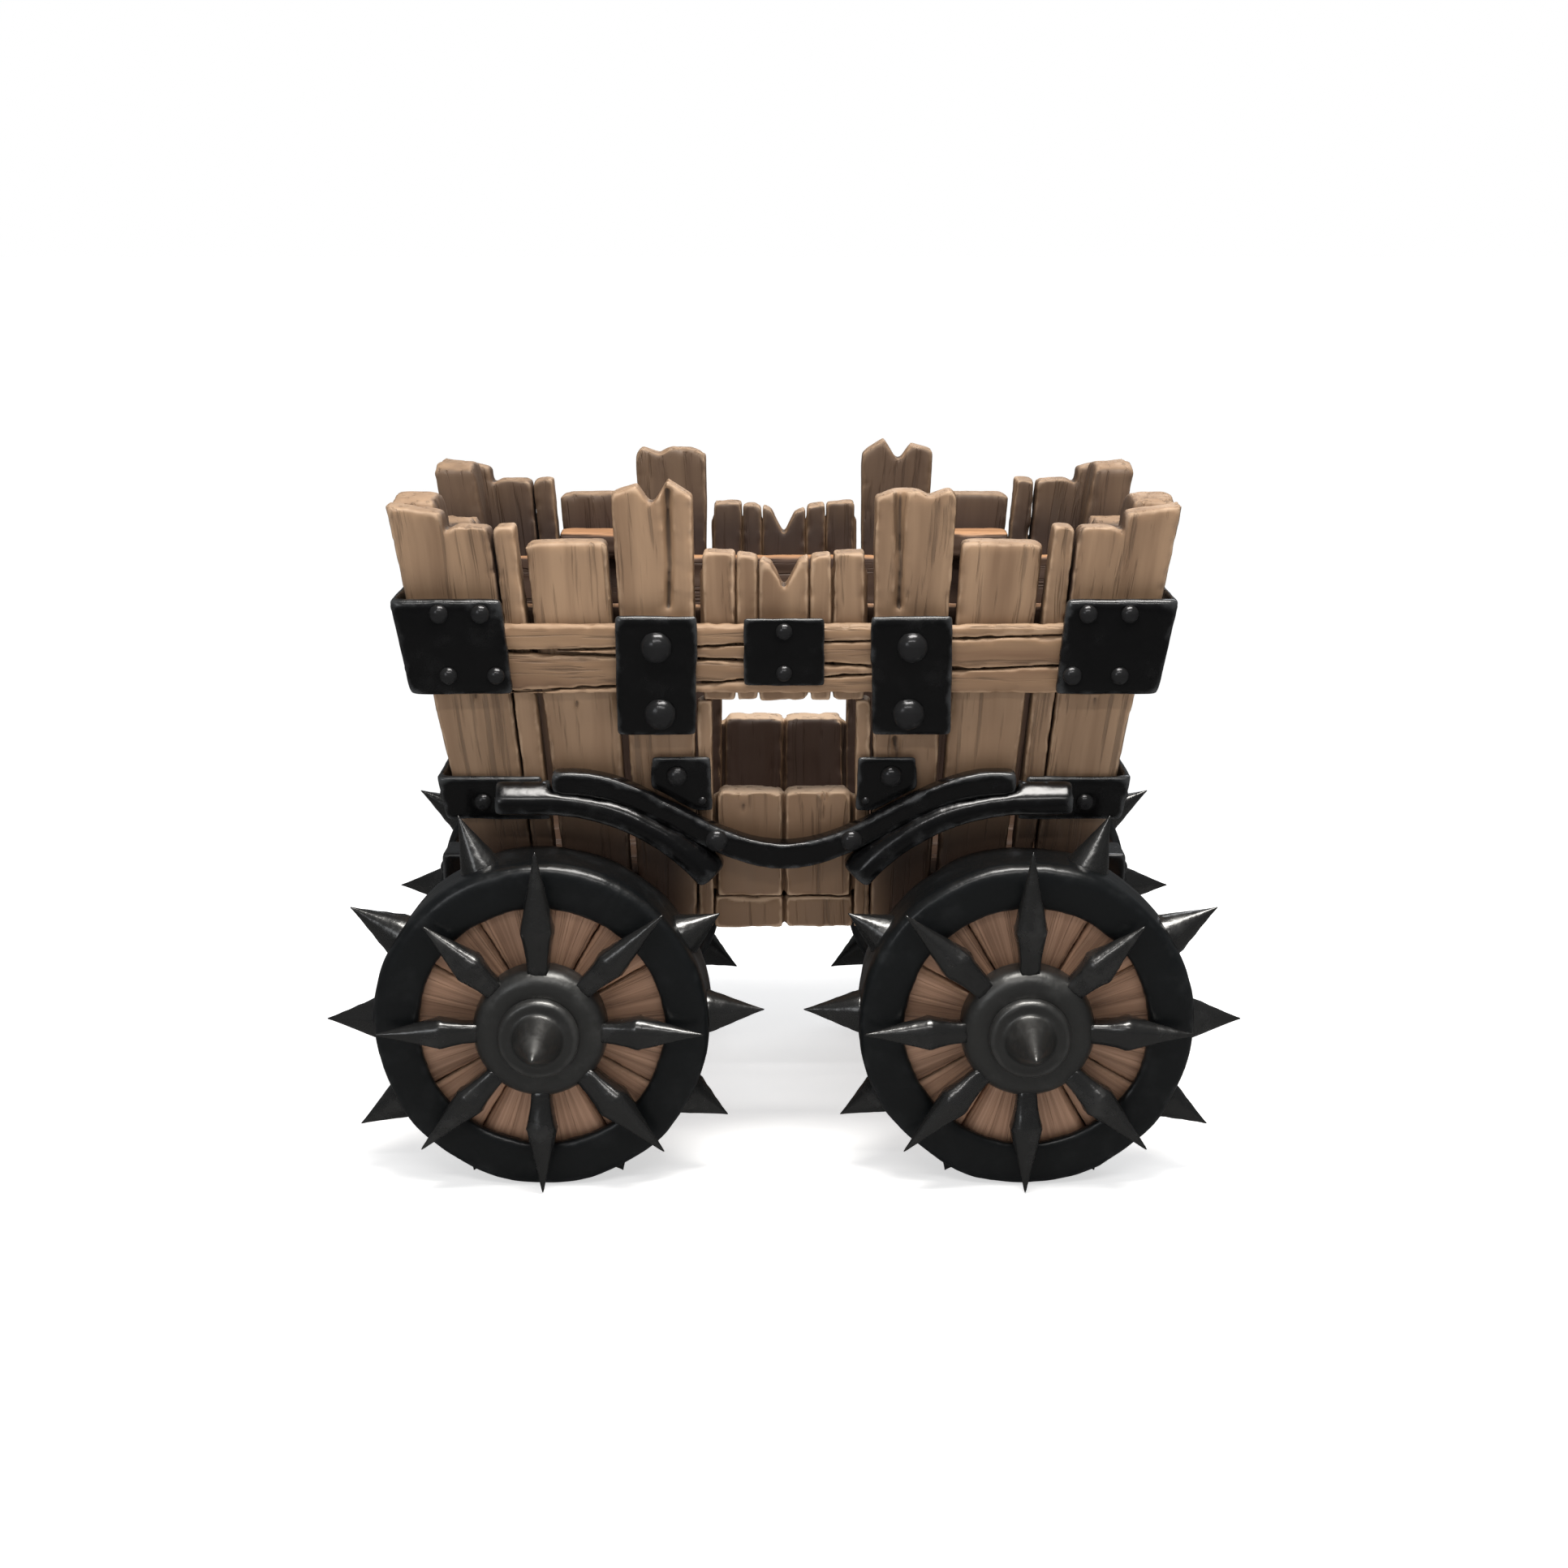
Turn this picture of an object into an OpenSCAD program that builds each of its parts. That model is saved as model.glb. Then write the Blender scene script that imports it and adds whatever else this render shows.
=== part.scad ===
// Spiked mine cart: a leaning plank tub bound in iron, on four wheels that turn on two fixed axles.
// X runs along the cart and Y across it. Z is up from the ground under the middle of the tub.
// The front end is at +X and the right side is at -Y. The left side is the right side turned half
// round. Lengths are in millimetres, and plank and plate thicknesses are measured level.

/* [Tub] */
// Half the length of the tub over its end planks, at the wall's reference height
tub_half_length = 652; // [560:1:790]
// Half the width of the tub over its side planks, at the wall's reference height
tub_half_width = 375; // [310:1:460]
// Height of the walls from the feet of the planks to the reference height
wall_height = 748; // [620:1:900]
// Outward lean of the side walls, in degrees
side_lean = 4.92; // [0:0.01:8]
// Outward lean of the end walls, in degrees
end_lean = 9.93; // [0:0.01:14]
// Thickness of the side planks
side_t = 60; // [45:1:75]
// Thickness of the end planks
end_t = 75; // [55:1:90]
// Open gap between neighbouring planks
plank_gap = 12; // [4:0.5:16]
// Hairline gap where one plank has split
split_gap = 2.4; // [1:0.1:5]
// How far the corner planks stand back from the end planks' faces below the rails
corner_setback = 8; // [0:1:14]

/* [Plank tops, from the feet of the planks] */
// Outer end of the corner planks
corner_top = 733; // [600:1:880]
// Bottom of the deep split in the corner planks
corner_split_bottom = 651; // [560:1:690]
// Side planks between the corner planks and the posts
side_plank_top = 673; // [600:1:800]
// Taller peak of the posts
post_top = 773; // [640:1:930]
// Centre boards over the hatch
centre_top = 655; // [590:1:780]
// Bottom of the notch in the middle centre board
notch_bottom = 590; // [560:1:640]
// Outer planks of the end walls
end_corner_top = 740; // [600:1:880]
// Inner planks of the end walls
end_plank_top = 648; // [580:1:780]

/* [Seams of the side walls] */
// Seam between corner plank and side plank, at the reference height
corner_seam = 438; // [380:1:520]
// Lean of that seam towards the middle, in degrees
corner_seam_lean = 5.1; // [0:0.1:7]
// Width of the strip that has split off the corner plank
split_strip = 38; // [25:1:50]
// Seam between side plank and post, at the reference height
post_seam = 287; // [250:1:320]
// Lean of that seam towards the middle, in degrees
post_seam_lean = 2.8; // [0:0.1:4]
// Seam between post and centre boards
centre_seam = 142; // [136:1:165]

/* [Hatch] */
// Half the width of the opening in each side
hatch_half_width = 120; // [95:1:126]
// Top of the sill boards, from the feet of the planks
sill_top = 243; // [200:1:290]
// Underside of the centre boards, from the feet of the planks
hatch_head = 404; // [345:1:415]
// Height of the lower tier of sill boards
sill_lower_tier = 55; // [40:1:70]

/* [Rails and battens] */
// Underside of the rails, from the feet of the planks
rail_low = 421; // [418:1:470]
// Height of the rails
rail_height = 117; // [90:1:140]
// Thickness of the side rails
side_rail_t = 21; // [15:1:28]
// Thickness of the end rails
end_rail_t = 10; // [8:1:16]
// Top of the inner battens, from the feet of the planks
batten_top = 558; // [480:1:600]
// Height of the inner battens
batten_height = 100; // [60:1:120]
// Thickness of the inner battens
batten_t = 25; // [15:1:35]
// Depth of the shelf blocks inside the tub
shelf_depth = 80; // [50:1:100]
// Height of the shelf blocks
shelf_height = 50; // [30:1:70]

/* [Iron plates] */
// Thickness of the corner brackets' side legs
bracket_t = 22; // [14:1:28]
// Thickness of the corner brackets' end legs
bracket_end_t = 12; // [8:1:20]
// Height of the upper corner brackets
bracket_height = 165; // [130:1:200]
// Length of the upper corner brackets' side legs
bracket_leg = 180; // [140:1:190]
// Length of the corner brackets' end legs
bracket_end_leg = 150; // [110:1:170]
// Thickness of the post plates
post_plate_t = 16; // [10:1:20]
// Thickness of the centre plates
centre_plate_t = 12; // [8:1:20]
// Half width of the centre plates
centre_plate_half = 69; // [50:1:85]
// Thickness of the lower corner brackets and hatch plates
low_plate_t = 14; // [8:1:18]
// Underside of the lower corner brackets, from the feet of the planks
low_bracket_bottom = 196; // [170:1:220]
// Height of the lower corner brackets
low_bracket_height = 79; // [60:1:95]

/* [Straps and fenders] */
// Height of the wave strap's band
strap_height = 47; // [38:1:56]
// How far the wave strap stands out from the planks
strap_t = 45; // [36:1:50]
// Half the length of the wave strap
strap_half = 388; // [330:1:390]
// Top of the strap at its low centre, from the feet of the planks
strap_centre_top = 164; // [140:1:180]
// Rise of the wave from its centre to its crests
wave_rise = 126; // [100:1:140]
// Distance of the crests from the centre
wave_crest = 355; // [310:1:370]
// Gap between the tyre and the underside of the fender
fender_gap = 58; // [45:1:70]
// Height of the fender's front face
fender_face = 30; // [22:1:40]
// Rise of the fender's sloping top
fender_slope = 24; // [15:1:34]
// Angle at which the fender's arc ends, from level
fender_end_angle = 38.7; // [32:0.1:50]
// Length of the fender's level part
fender_flat = 80; // [60:1:100]

/* [Under frame] */
// Half the wheelbase
wheel_x = 403; // [340:1:420]
// Height of the frame timbers
frame_h = 54; // [40:1:66]
// Width of the side sills
sill_timber_w = 60; // [45:1:75]
// Half width of the draw beam
beam_half = 38; // [30:1:46]
// How far the draw beam runs out past each end wall's foot
beam_out = 90; // [60:1:110]
// Thickness of the floor planks
floor_t = 36; // [25:1:45]
// Height of the bolsters
bolster_h = 58; // [45:1:70]
// Length of the bolsters and axle blocks along the cart
bolster_l = 90; // [70:1:110]
// Width of the axle blocks across the cart
block_w = 90; // [60:1:110]
// Material left above and below the axle in its block
block_wall = 34; // [24:1:42]
// Wall of the iron caps on the beam ends
cap_wall = 9; // [6:1:12]
// Depth of those caps along the beam
cap_depth = 56; // [40:1:66]

/* [Wheels] */
// Radius of the tyre's tread
wheel_r = 280; // [235:1:336]
// Width of the tyre
tyre_w = 146; // [122:1:170]
// Thickness of the tyre's band
tyre_t = 18; // [12:1:22]
// Width of the tyre's face ring
face_ring = 79; // [60:1:90]
// Thickness of the tyre's face ring
face_ring_t = 22; // [16:1:28]
// Gap between the side wall and the tyre, at the height of the tyre's top
wheel_gap = 18; // [14:1:30]
// Boards in each wheel
wheel_board_count = 12; // [8:2:16]
// Radius of the hub where it passes through the boards
nave_r = 80; // [66:1:88]
// Radius of the hub's flange
hub_flange_r = 112; // [100:1:120]
// Height of the hub's flange in front of the boards
hub_flange_h = 59; // [54:1:66]
// Edge rounding of the hub's flange
hub_round = 30; // [16:1:31]
// Radius of the axle's journals
axle_r = 25; // [20:1:28]
// Wall of the bush
bush_wall = 15; // [8:1:17]
// Radius of the hub cap's base
cap_r = 68; // [60:1:74]
// Radius of the cone on the hub cap
cone_r = 44; // [36:1:52]
// Length of that cone
cone_l = 104; // [80:1:125]

/* [Spikes] */
// Radius of the rim spikes at the tread
rim_spike_r = 36; // [28:1:42]
// Radius of the worn stubs at the tread
stub_r = 22; // [16:1:28]
// Radius of the face spikes at the hub
face_spike_root_r = 19.5; // [17:0.5:22]
// Radius of the face spikes at their shoulder
face_spike_r = 28; // [22:0.5:29]
// Distance of that shoulder from the hub's flange
face_spike_shoulder = 53; // [40:1:60]
// Lift of the face spikes towards their tips, in degrees
face_spike_lift = 6.3; // [5:0.1:9]

/* [Fits] */
// Gap between fixed pieces that rest on each other
seat = 0.3; // [0.1:0.1:0.6]
// Radial clearance of a pin in its bore
fit = 0.05; // [0.02:0.01:0.09]
// Gap between neighbouring boards in a wheel or the floor
board_gap = 0.8; // [0.4:0.1:0.9]

/* [Hidden] */
$fn = 64;
BIG = 3000;

// Heights. The wheels set the axle's height, and the tub stands on the bolsters over the axles.
axle_z = wheel_r;
block_top = axle_z + axle_r + block_wall;
frame_bottom = block_top + bolster_h + 3 * seat;
feet = frame_bottom + 4;
frame_top = frame_bottom + frame_h;
floor_z = frame_top + seat;
reference_z = feet + wall_height;
rail_top = rail_low + rail_height;

// Outer faces of the leaning walls at a height
function side_y(z) = tub_half_width - tan(side_lean) * (reference_z - z);
function end_x(z) = tub_half_length - tan(end_lean) * (reference_z - z);

// Seams of the side walls at a height
function corner_seam_x(z) = corner_seam - tan(corner_seam_lean) * (reference_z - z);
function split_seam_x(z) = corner_seam_x(z) + split_strip + plank_gap / 2;
function post_seam_x(z) = post_seam - tan(post_seam_lean) * (reference_z - z);

// Distances outward from the middle plane of the cart, along a wheel's axis
tyre_in = side_y(2 * wheel_r) + wheel_gap;
tyre_out = tyre_in + tyre_w;
board_face = tyre_out - face_ring_t - seat;
board_back = tyre_in + 10;
hub_back = tyre_in - 6;
hub_front = board_face + seat + hub_flange_h;
nut_seat = hub_front - 20;
spike_mid = tyre_in + tyre_w / 2;
washer_t = 6;
nut_t = 16;
nut_r = 34;
washer_r = 44;
cavity_r = 52;
axle_end = nut_seat + washer_t + nut_t + 3 * seat + 3;
cavity_end = axle_end + 8;
cap_face = hub_front + 23;
band_r = wheel_r - tyre_t;

// Fender, held clear of the turning rim spikes
fender_r = wheel_r + fender_gap;
fender_front = spike_mid - 22;
strap_front = side_y(feet + strap_centre_top + wave_rise) + strap_t - 12;

// Tip radius of each face spike, anticlockwise from the +X spike of the rear right wheel
FACE_TIPS = [271, 290, 312, 262, 273, 283, 277, 288] - [for (i = [0 : 7]) 280 - wheel_r];
// Angle and length beyond the tread of each rim spike
RIM_SPIKES = [[1.5, 90], [31, 65], [111.5, 92], [149.5, 92], [181, 87], [211.5, 92], [330, 75]];
STUB_SPIKES = [[245.4, 27], [294.6, 27]];

// Rivets of the side walls: distance from the middle, height above the feet, dome radius
POST_RIVETS = [[210, 502, 25.5], [205, 388, 25.5]];
CENTRE_RIVETS = [[0, 528, 13.5], [0, 457, 13.5]];
BRACKET_RIVETS = [for (r = [[89, 559, 15], [157, 559, 15], [101, 455, 15], [179, 455, 15]])
    [tub_half_length - r[0], r[1], r[2]]];
HATCH_RIVETS = [[180, 275, 18], [137, 232, 7]];
LOW_RIVETS = [[tub_half_length - 146, 230, 14]];
// Rivets of the end walls: distance in from the side wall's face, height, dome radius
END_RIVETS = [[30, 559, 15], [100, 559, 15], [30, 455, 15], [100, 455, 15]];
END_LOW_RIVETS = [[40, 230, 14]];
STRAP_RIVET_X = 113;
STRAP_RIVET_R = 19;

WOOD = [0.66, 0.52, 0.39];
INNER_WOOD = [0.42, 0.28, 0.19];
IRON = [0.07, 0.08, 0.09];
STEEL = [0.32, 0.33, 0.33];
BRONZE = [0.55, 0.42, 0.24];

// ---- Placing and leaning shapes ----

// Repeats a right-hand piece on the left side, turned half round
module both_sides() {
    children();
    rotate([0, 0, 180]) children();
}

// Repeats a piece of the rear half on the front half, as a mirror image
module both_halves() {
    children();
    mirror([1, 0, 0]) children();
}

// Slab that leans with the right side wall, between two distances out from the planks' faces
module side_layer(inner, outer) {
    mirror([0, 1, 0]) rotate([90, 0, 90])
        linear_extrude(BIG, center = true)
            polygon([[side_y(0) + inner, 0], [side_y(0) + outer, 0],
                [side_y(BIG) + outer, BIG], [side_y(BIG) + inner, BIG]]);
}

// Slab that leans with the rear end wall, between two distances out from the planks' faces
module end_layer(inner, outer) {
    mirror([1, 0, 0]) rotate([90, 0, 0])
        linear_extrude(BIG, center = true)
            polygon([[end_x(0) + inner, 0], [end_x(0) + outer, 0],
                [end_x(BIG) + outer, BIG], [end_x(BIG) + inner, BIG]]);
}

// Everything between the two side walls, drawn back by a gap from a distance inside their faces
module between_sides(inset) {
    rotate([90, 0, 90])
        linear_extrude(BIG, center = true)
            polygon([[-side_y(0) + inset, 0], [side_y(0) - inset, 0],
                [side_y(BIG) - inset, BIG], [-side_y(BIG) + inset, BIG]]);
}

// Everything between the two end walls, in the same way
module between_ends(inset) {
    rotate([90, 0, 0])
        linear_extrude(BIG, center = true)
            polygon([[-end_x(0) + inset, 0], [end_x(0) - inset, 0],
                [end_x(BIG) - inset, BIG], [-end_x(BIG) + inset, BIG]]);
}

// Outline drawn in X and Z, cut through the right half of the cart
module through_side(points) {
    rotate([90, 0, 0]) linear_extrude(BIG / 2) polygon(points);
}

// Outline drawn in Y and Z, cut through the rear half of the cart
module through_end(points) {
    rotate([90, 0, -90]) linear_extrude(BIG / 2) polygon([for (p = points) [-p[0], p[1]]]);
}

// Box from low corner to high corner
module block(low, high) {
    translate(low) cube(high - low);
}

// Puts a piece drawn along +Z square on the right side wall, a distance out from the planks' faces
module on_side(x, height, out) {
    z = feet + height;
    translate([x, -side_y(z) - out, z]) rotate([90 + side_lean, 0, 0]) children();
}

// The same on the rear end wall, at a distance in from the right side wall's face
module on_end(inset, height, out) {
    z = feet + height;
    translate([-end_x(z) - out, -side_y(z) + inset, z]) rotate([0, -90 - end_lean, 0]) children();
}

// ---- Rivets ----

RIVET_SHANK = 0.4;
RIVET_GRIP = 20;

// Domed head, with its shank in the iron and wood below it
module rivet(r) {
    rise = 0.62 * r;
    ball = (r * r + rise * rise) / (2 * rise);
    intersection() {
        translate([0, 0, seat + rise - ball]) sphere(ball);
        translate([-r, -r, seat]) cube(2 * r);
    }
    translate([0, 0, -RIVET_GRIP]) cylinder(r = RIVET_SHANK * r, h = RIVET_GRIP + seat + 1);
}

// The hole that shank needs
module rivet_hole(r) {
    translate([0, 0, -RIVET_GRIP - 1]) cylinder(r = RIVET_SHANK * r + fit, h = RIVET_GRIP + 3);
}

// Places a rivet, or its hole, at each of a list of points on the right side
module at_side_points(points, out, hole) {
    for (p = points)
        for (x = p[0] == 0 ? [0] : [-p[0], p[0]])
            on_side(x, p[1], out) {
                if (hole) rivet_hole(p[2]);
                else rivet(p[2]);
            }
}

// Places a rivet, or its hole, at both corners of both end walls
module at_end_points(points, out, hole) {
    both_sides() both_halves()
        for (p = points)
            on_end(p[0], p[1], out) {
                if (hole) rivet_hole(p[2]);
                else rivet(p[2]);
            }
}

module post_plate_rivets(hole) {
    both_sides() at_side_points(POST_RIVETS, side_rail_t + seat + post_plate_t, hole);
}

module centre_plate_rivets(hole) {
    both_sides() at_side_points(CENTRE_RIVETS, side_rail_t + seat + centre_plate_t, hole);
}

module hatch_plate_rivets(hole) {
    both_sides() at_side_points(HATCH_RIVETS, seat + low_plate_t, hole);
}

module upper_bracket_rivets(hole) {
    both_sides() at_side_points(BRACKET_RIVETS, side_rail_t + seat + bracket_t, hole);
    at_end_points(END_RIVETS, end_rail_t + seat + bracket_end_t, hole);
}

module lower_bracket_rivets(hole) {
    both_sides() at_side_points(LOW_RIVETS, seat + low_plate_t, hole);
    at_end_points(END_LOW_RIVETS, seat + low_plate_t, hole);
}

module strap_rivets(hole) {
    height = wave_top(STRAP_RIVET_X) - strap_height / 2;
    both_sides() at_side_points([[STRAP_RIVET_X, height, STRAP_RIVET_R]], seat + strap_t, hole);
}

module beam_cap_rivets(hole) {
    for (turn = [0, 180])
        rotate([0, 0, turn])
            translate([beam_end + cap_wall + seat, 0, frame_bottom + frame_h / 2]) rotate([0, 90, 0]) {
                if (hole) rivet_hole(14);
                else rivet(14);
            }
}

// ---- Wall planks ----

// Right wall's planks: outlines in X and Z, given for the rear half, in the thickness of the wall
module side_plank(points) {
    intersection() {
        side_layer(-side_t, 0);
        through_side(points);
    }
}

// Corner plank with its split top, and the strip that has come off it
module corner_pair() {
    top = feet + corner_top;
    foot_out = end_x(feet) - corner_setback;
    rail_mid = feet + rail_low + rail_height / 2;
    split_x = end_x(top) - 94;
    strip_top = feet + corner_top - 36;
    side_plank([[-foot_out, feet],
        [-end_x(rail_mid) + corner_setback, rail_mid],
        [-end_x(rail_mid), rail_mid],
        [-end_x(top), top],
        [-split_x - 8, top - 12],
        [-split_x, top - 16],
        [-split_x + 2, feet + corner_split_bottom],
        [-split_x + 10, top - 40],
        [-split_x + 22, top - 35],
        [-split_seam_x(strip_top) - 8, strip_top - 1],
        [-split_seam_x(strip_top) - split_gap / 2, strip_top - 8],
        [-split_seam_x(feet) - split_gap / 2, feet]]);
    side_plank([[-split_seam_x(feet) + split_gap / 2, feet],
        [-split_seam_x(strip_top) + split_gap / 2, strip_top - 4],
        [-split_seam_x(strip_top) + 9, strip_top],
        [-corner_seam_x(strip_top) - plank_gap / 2, strip_top + 3],
        [-corner_seam_x(feet) - plank_gap / 2, feet]]);
}

module corner_planks_one_side() {
    difference() {
        both_halves() corner_pair();
        at_side_points(LOW_RIVETS, seat + low_plate_t, true);
        at_end_points(END_LOW_RIVETS, seat + low_plate_t, true);
    }
}

module right_corner_planks() {
    color(WOOD) corner_planks_one_side();
}

module left_corner_planks() {
    color(WOOD) rotate([0, 0, 180]) corner_planks_one_side();
}

module side_planks() {
    top = feet + side_plank_top;
    color(WOOD) both_sides() both_halves()
        side_plank([[-corner_seam_x(feet) + plank_gap / 2, feet],
            [-corner_seam_x(top) + plank_gap / 2, top - 10],
            [-corner_seam_x(top) + plank_gap / 2 + 10, top - 3],
            [-post_seam_x(top) - plank_gap / 2 - 6, top],
            [-post_seam_x(top) - plank_gap / 2, top - 6],
            [-post_seam_x(feet) - plank_gap / 2, feet]]);
}

// Posts of one side. The rear one has a notch between two peaks and the front one is flatter.
module posts_one_side() {
    top = feet + post_top;
    outer = post_seam_x(top) - plank_gap / 2;
    inner = centre_seam + plank_gap / 2;
    difference() {
        union() {
            side_plank([[-post_seam_x(feet) + plank_gap / 2, feet],
                [-outer, top - 21],
                [-outer + 42, top - 9],
                [-outer + 66, top - 44],
                [-outer + 92, top],
                [-inner, top - 27],
                [-inner, feet]]);
            side_plank([[post_seam_x(feet) - plank_gap / 2, feet],
                [outer, top - 28],
                [outer - 12, top - 15],
                [outer - 46, top - 28],
                [outer - 64, top - 16],
                [inner + 34, top - 16],
                [inner, top - 28],
                [inner, feet]]);
        }
        at_side_points(HATCH_RIVETS, seat + low_plate_t, true);
    }
}

module right_posts() {
    color(WOOD) posts_one_side();
}

module left_posts() {
    color(WOOD) rotate([0, 0, 180]) posts_one_side();
}

// Five short boards over each hatch, the middle one with a notch worn in its top
module centre_boards() {
    top = feet + centre_top;
    low = feet + hatch_head;
    edge = centre_seam - plank_gap / 2 - 2;
    outer_seam = 79;
    inner_seam = 42;
    g = split_gap / 2;
    color(WOOD) both_sides() {
        for (s = [-1, 1]) {
            side_plank([[s * edge, low], [s * edge, top + 1], [s * (outer_seam + g), top - 2],
                [s * (outer_seam + g), low]]);
            side_plank([[s * (outer_seam - g), low], [s * (outer_seam - g), top - 3],
                [s * (inner_seam + g), top - 8], [s * (inner_seam + g), low]]);
        }
        side_plank([[-inner_seam + g, low], [-inner_seam + g, top - 10], [-21, top - 20],
            [-9, feet + notch_bottom + 22], [0, feet + notch_bottom], [12, feet + notch_bottom + 24],
            [24, top - 16], [inner_seam - g, top - 8], [inner_seam - g, low]]);
    }
}

// Jambs beside each hatch and two tiers of sill boards below it
module hatch_surround() {
    jamb_out = centre_seam + plank_gap / 2 - split_gap;
    jamb_top = feet + hatch_head - seat;
    sill_half = hatch_half_width - 8;
    tier = feet + sill_lower_tier;
    sill = feet + sill_top;
    mid = 3;
    color(WOOD) both_sides() difference() {
        union() {
            for (s = [-1, 1]) {
                side_plank([[s * jamb_out, feet + 2], [s * jamb_out, jamb_top],
                    [s * hatch_half_width, jamb_top], [s * hatch_half_width, feet + 2]]);
                side_plank([[s * mid, tier + 2], [s * mid, sill - 4], [s * (mid + 8), sill],
                    [s * (sill_half - 8), sill + 1], [s * sill_half, sill - 6],
                    [s * sill_half, tier + 2]]);
                side_plank([[s * mid, feet], [s * mid, tier - 1], [s * (hatch_half_width - 3), tier - 1],
                    [s * (hatch_half_width - 3), feet]]);
            }
        }
        at_side_points(HATCH_RIVETS, seat + low_plate_t, true);
    }
}

// Planks of one end wall, fitted between the side walls, with a notch for the draw beam
module end_planks_one_end() {
    tall = feet + end_corner_top;
    low = feet + end_plank_top;
    seam = 62;
    outer_foot = 160;
    outer_top = 192;
    far = tub_half_width;
    g = plank_gap / 2;
    difference() {
        intersection() {
            end_layer(-end_t, 0);
            between_sides(side_t + seat);
            union() {
                for (s = [-1, 1]) {
                    through_end([[s * (outer_foot + g), feet], [s * (outer_top + g), tall - 12],
                        [s * (outer_top + 40), tall], [s * (outer_top + 95), tall - 4],
                        [s * far, tall - 14], [s * far, feet]]);
                    through_end([[s * (seam + g), feet], [s * (seam + g), low - 4],
                        [s * (seam + 40), low + 8], [s * (seam + 70), low - 14],
                        [s * (outer_top - g - 8), low + 4], [s * (outer_foot - g), feet]]);
                }
                through_end([[-seam + g, feet], [-seam + g, low - 12], [-18, low - 4], [4, low - 46],
                    [22, low - 8], [seam - g, low - 14], [seam - g, feet]]);
            }
        }
        block([-BIG, -beam_half - seat, 0], [0, beam_half + seat, frame_top + seat]);
        at_end_points(END_LOW_RIVETS, seat + low_plate_t, true);
    }
}

module rear_end_planks() {
    color(WOOD) end_planks_one_end();
}

module front_end_planks() {
    color(WOOD) rotate([0, 0, 180]) end_planks_one_end();
}

// ---- Rails, battens and shelf blocks ----

module side_rails() {
    low = feet + rail_low;
    top = feet + rail_top;
    out = end_rail_t;
    color(WOOD) difference() {
        both_sides() intersection() {
            side_layer(seat, side_rail_t);
            through_side([[-end_x(low) - out, low], [-end_x(top) - out, top],
                [end_x(top) + out, top], [end_x(low) + out, low]]);
        }
        post_plate_rivets(true);
        centre_plate_rivets(true);
        upper_bracket_rivets(true);
    }
}

module end_rails() {
    low = feet + rail_low;
    top = feet + rail_top;
    color(WOOD) difference() {
        for (turn = [0, 180])
            rotate([0, 0, turn]) intersection() {
                end_layer(seat, end_rail_t);
                between_sides(0);
                block([-BIG, -BIG, low], [0, BIG, top]);
            }
        upper_bracket_rivets(true);
    }
}

module inner_battens() {
    color(INNER_WOOD) both_sides() intersection() {
        side_layer(-side_t - seat - batten_t, -side_t - seat);
        between_ends(end_t + seat);
        block([-BIG, -BIG, feet + batten_top - batten_height], [BIG, 0, feet + batten_top]);
    }
}

// Short thick blocks that sit on the battens beside the posts
module shelf_blocks() {
    low = feet + batten_top + seat;
    color(INNER_WOOD) both_sides() both_halves() intersection() {
        side_layer(-side_t - seat - shelf_depth, -side_t - seat);
        block([-corner_seam + 18, -BIG, low], [-post_seam - 8, 0, low + shelf_height]);
    }
}

// ---- Floor and under frame ----

// Five boards laid along the tub
module floor_planks() {
    boards = 5;
    half = side_y(floor_z) - side_t - seat;
    pitch = 2 * half / boards;
    color(INNER_WOOD) intersection() {
        between_ends(end_t + seat);
        between_sides(side_t + seat);
        for (i = [0 : boards - 1])
            block([-BIG, -half + i * pitch + board_gap / 2, floor_z],
                [BIG, -half + (i + 1) * pitch - board_gap / 2, floor_z + floor_t]);
    }
}

beam_end = end_x(feet) + beam_out;

module draw_beam() {
    color(WOOD) difference() {
        block([-beam_end, -beam_half, frame_bottom], [beam_end, beam_half, frame_top]);
        beam_cap_rivets(true);
    }
}

module side_sills() {
    color(WOOD) both_sides() intersection() {
        side_layer(-side_t - seat - sill_timber_w, -side_t - seat);
        between_ends(end_t + seat);
        block([-BIG, -BIG, frame_bottom], [BIG, 0, frame_top]);
    }
}

// Iron caps over the beam's ends
module beam_caps() {
    w = beam_half + seat + cap_wall;
    low = frame_bottom - seat - cap_wall;
    high = frame_top + seat + cap_wall;
    x_end = beam_end + seat + cap_wall;
    color(IRON) difference() {
        for (turn = [0, 180])
            rotate([0, 0, turn]) difference() {
                block([x_end - cap_depth, -w, low], [x_end, w, high]);
                block([0, -beam_half - seat, frame_bottom - seat],
                    [beam_end + seat, beam_half + seat, frame_top + seat]);
            }
        beam_cap_rivets(true);
    }
}

bolster_half = side_y(feet) - side_t - 4;

module bolsters() {
    for (e = [-1, 1])
        color(WOOD) block([e * wheel_x - bolster_l / 2, -bolster_half, block_top + seat],
            [e * wheel_x + bolster_l / 2, bolster_half, frame_bottom - seat]);
}

// Blocks under the bolsters that hold the axles still
module axle_blocks() {
    color(WOOD) difference() {
        for (e = [-1, 1])
            for (s = [-1, 1])
                block([e * wheel_x - bolster_l / 2, s * (bolster_half - block_w / 2) - block_w / 2,
                    axle_z - axle_r - block_wall],
                    [e * wheel_x + bolster_l / 2, s * (bolster_half - block_w / 2) + block_w / 2,
                    block_top]);
        for (e = [-1, 1])
            translate([e * wheel_x, 0, axle_z]) rotate([90, 0, 0])
                cylinder(r = axle_r + fit, h = BIG, center = true);
    }
}

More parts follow.
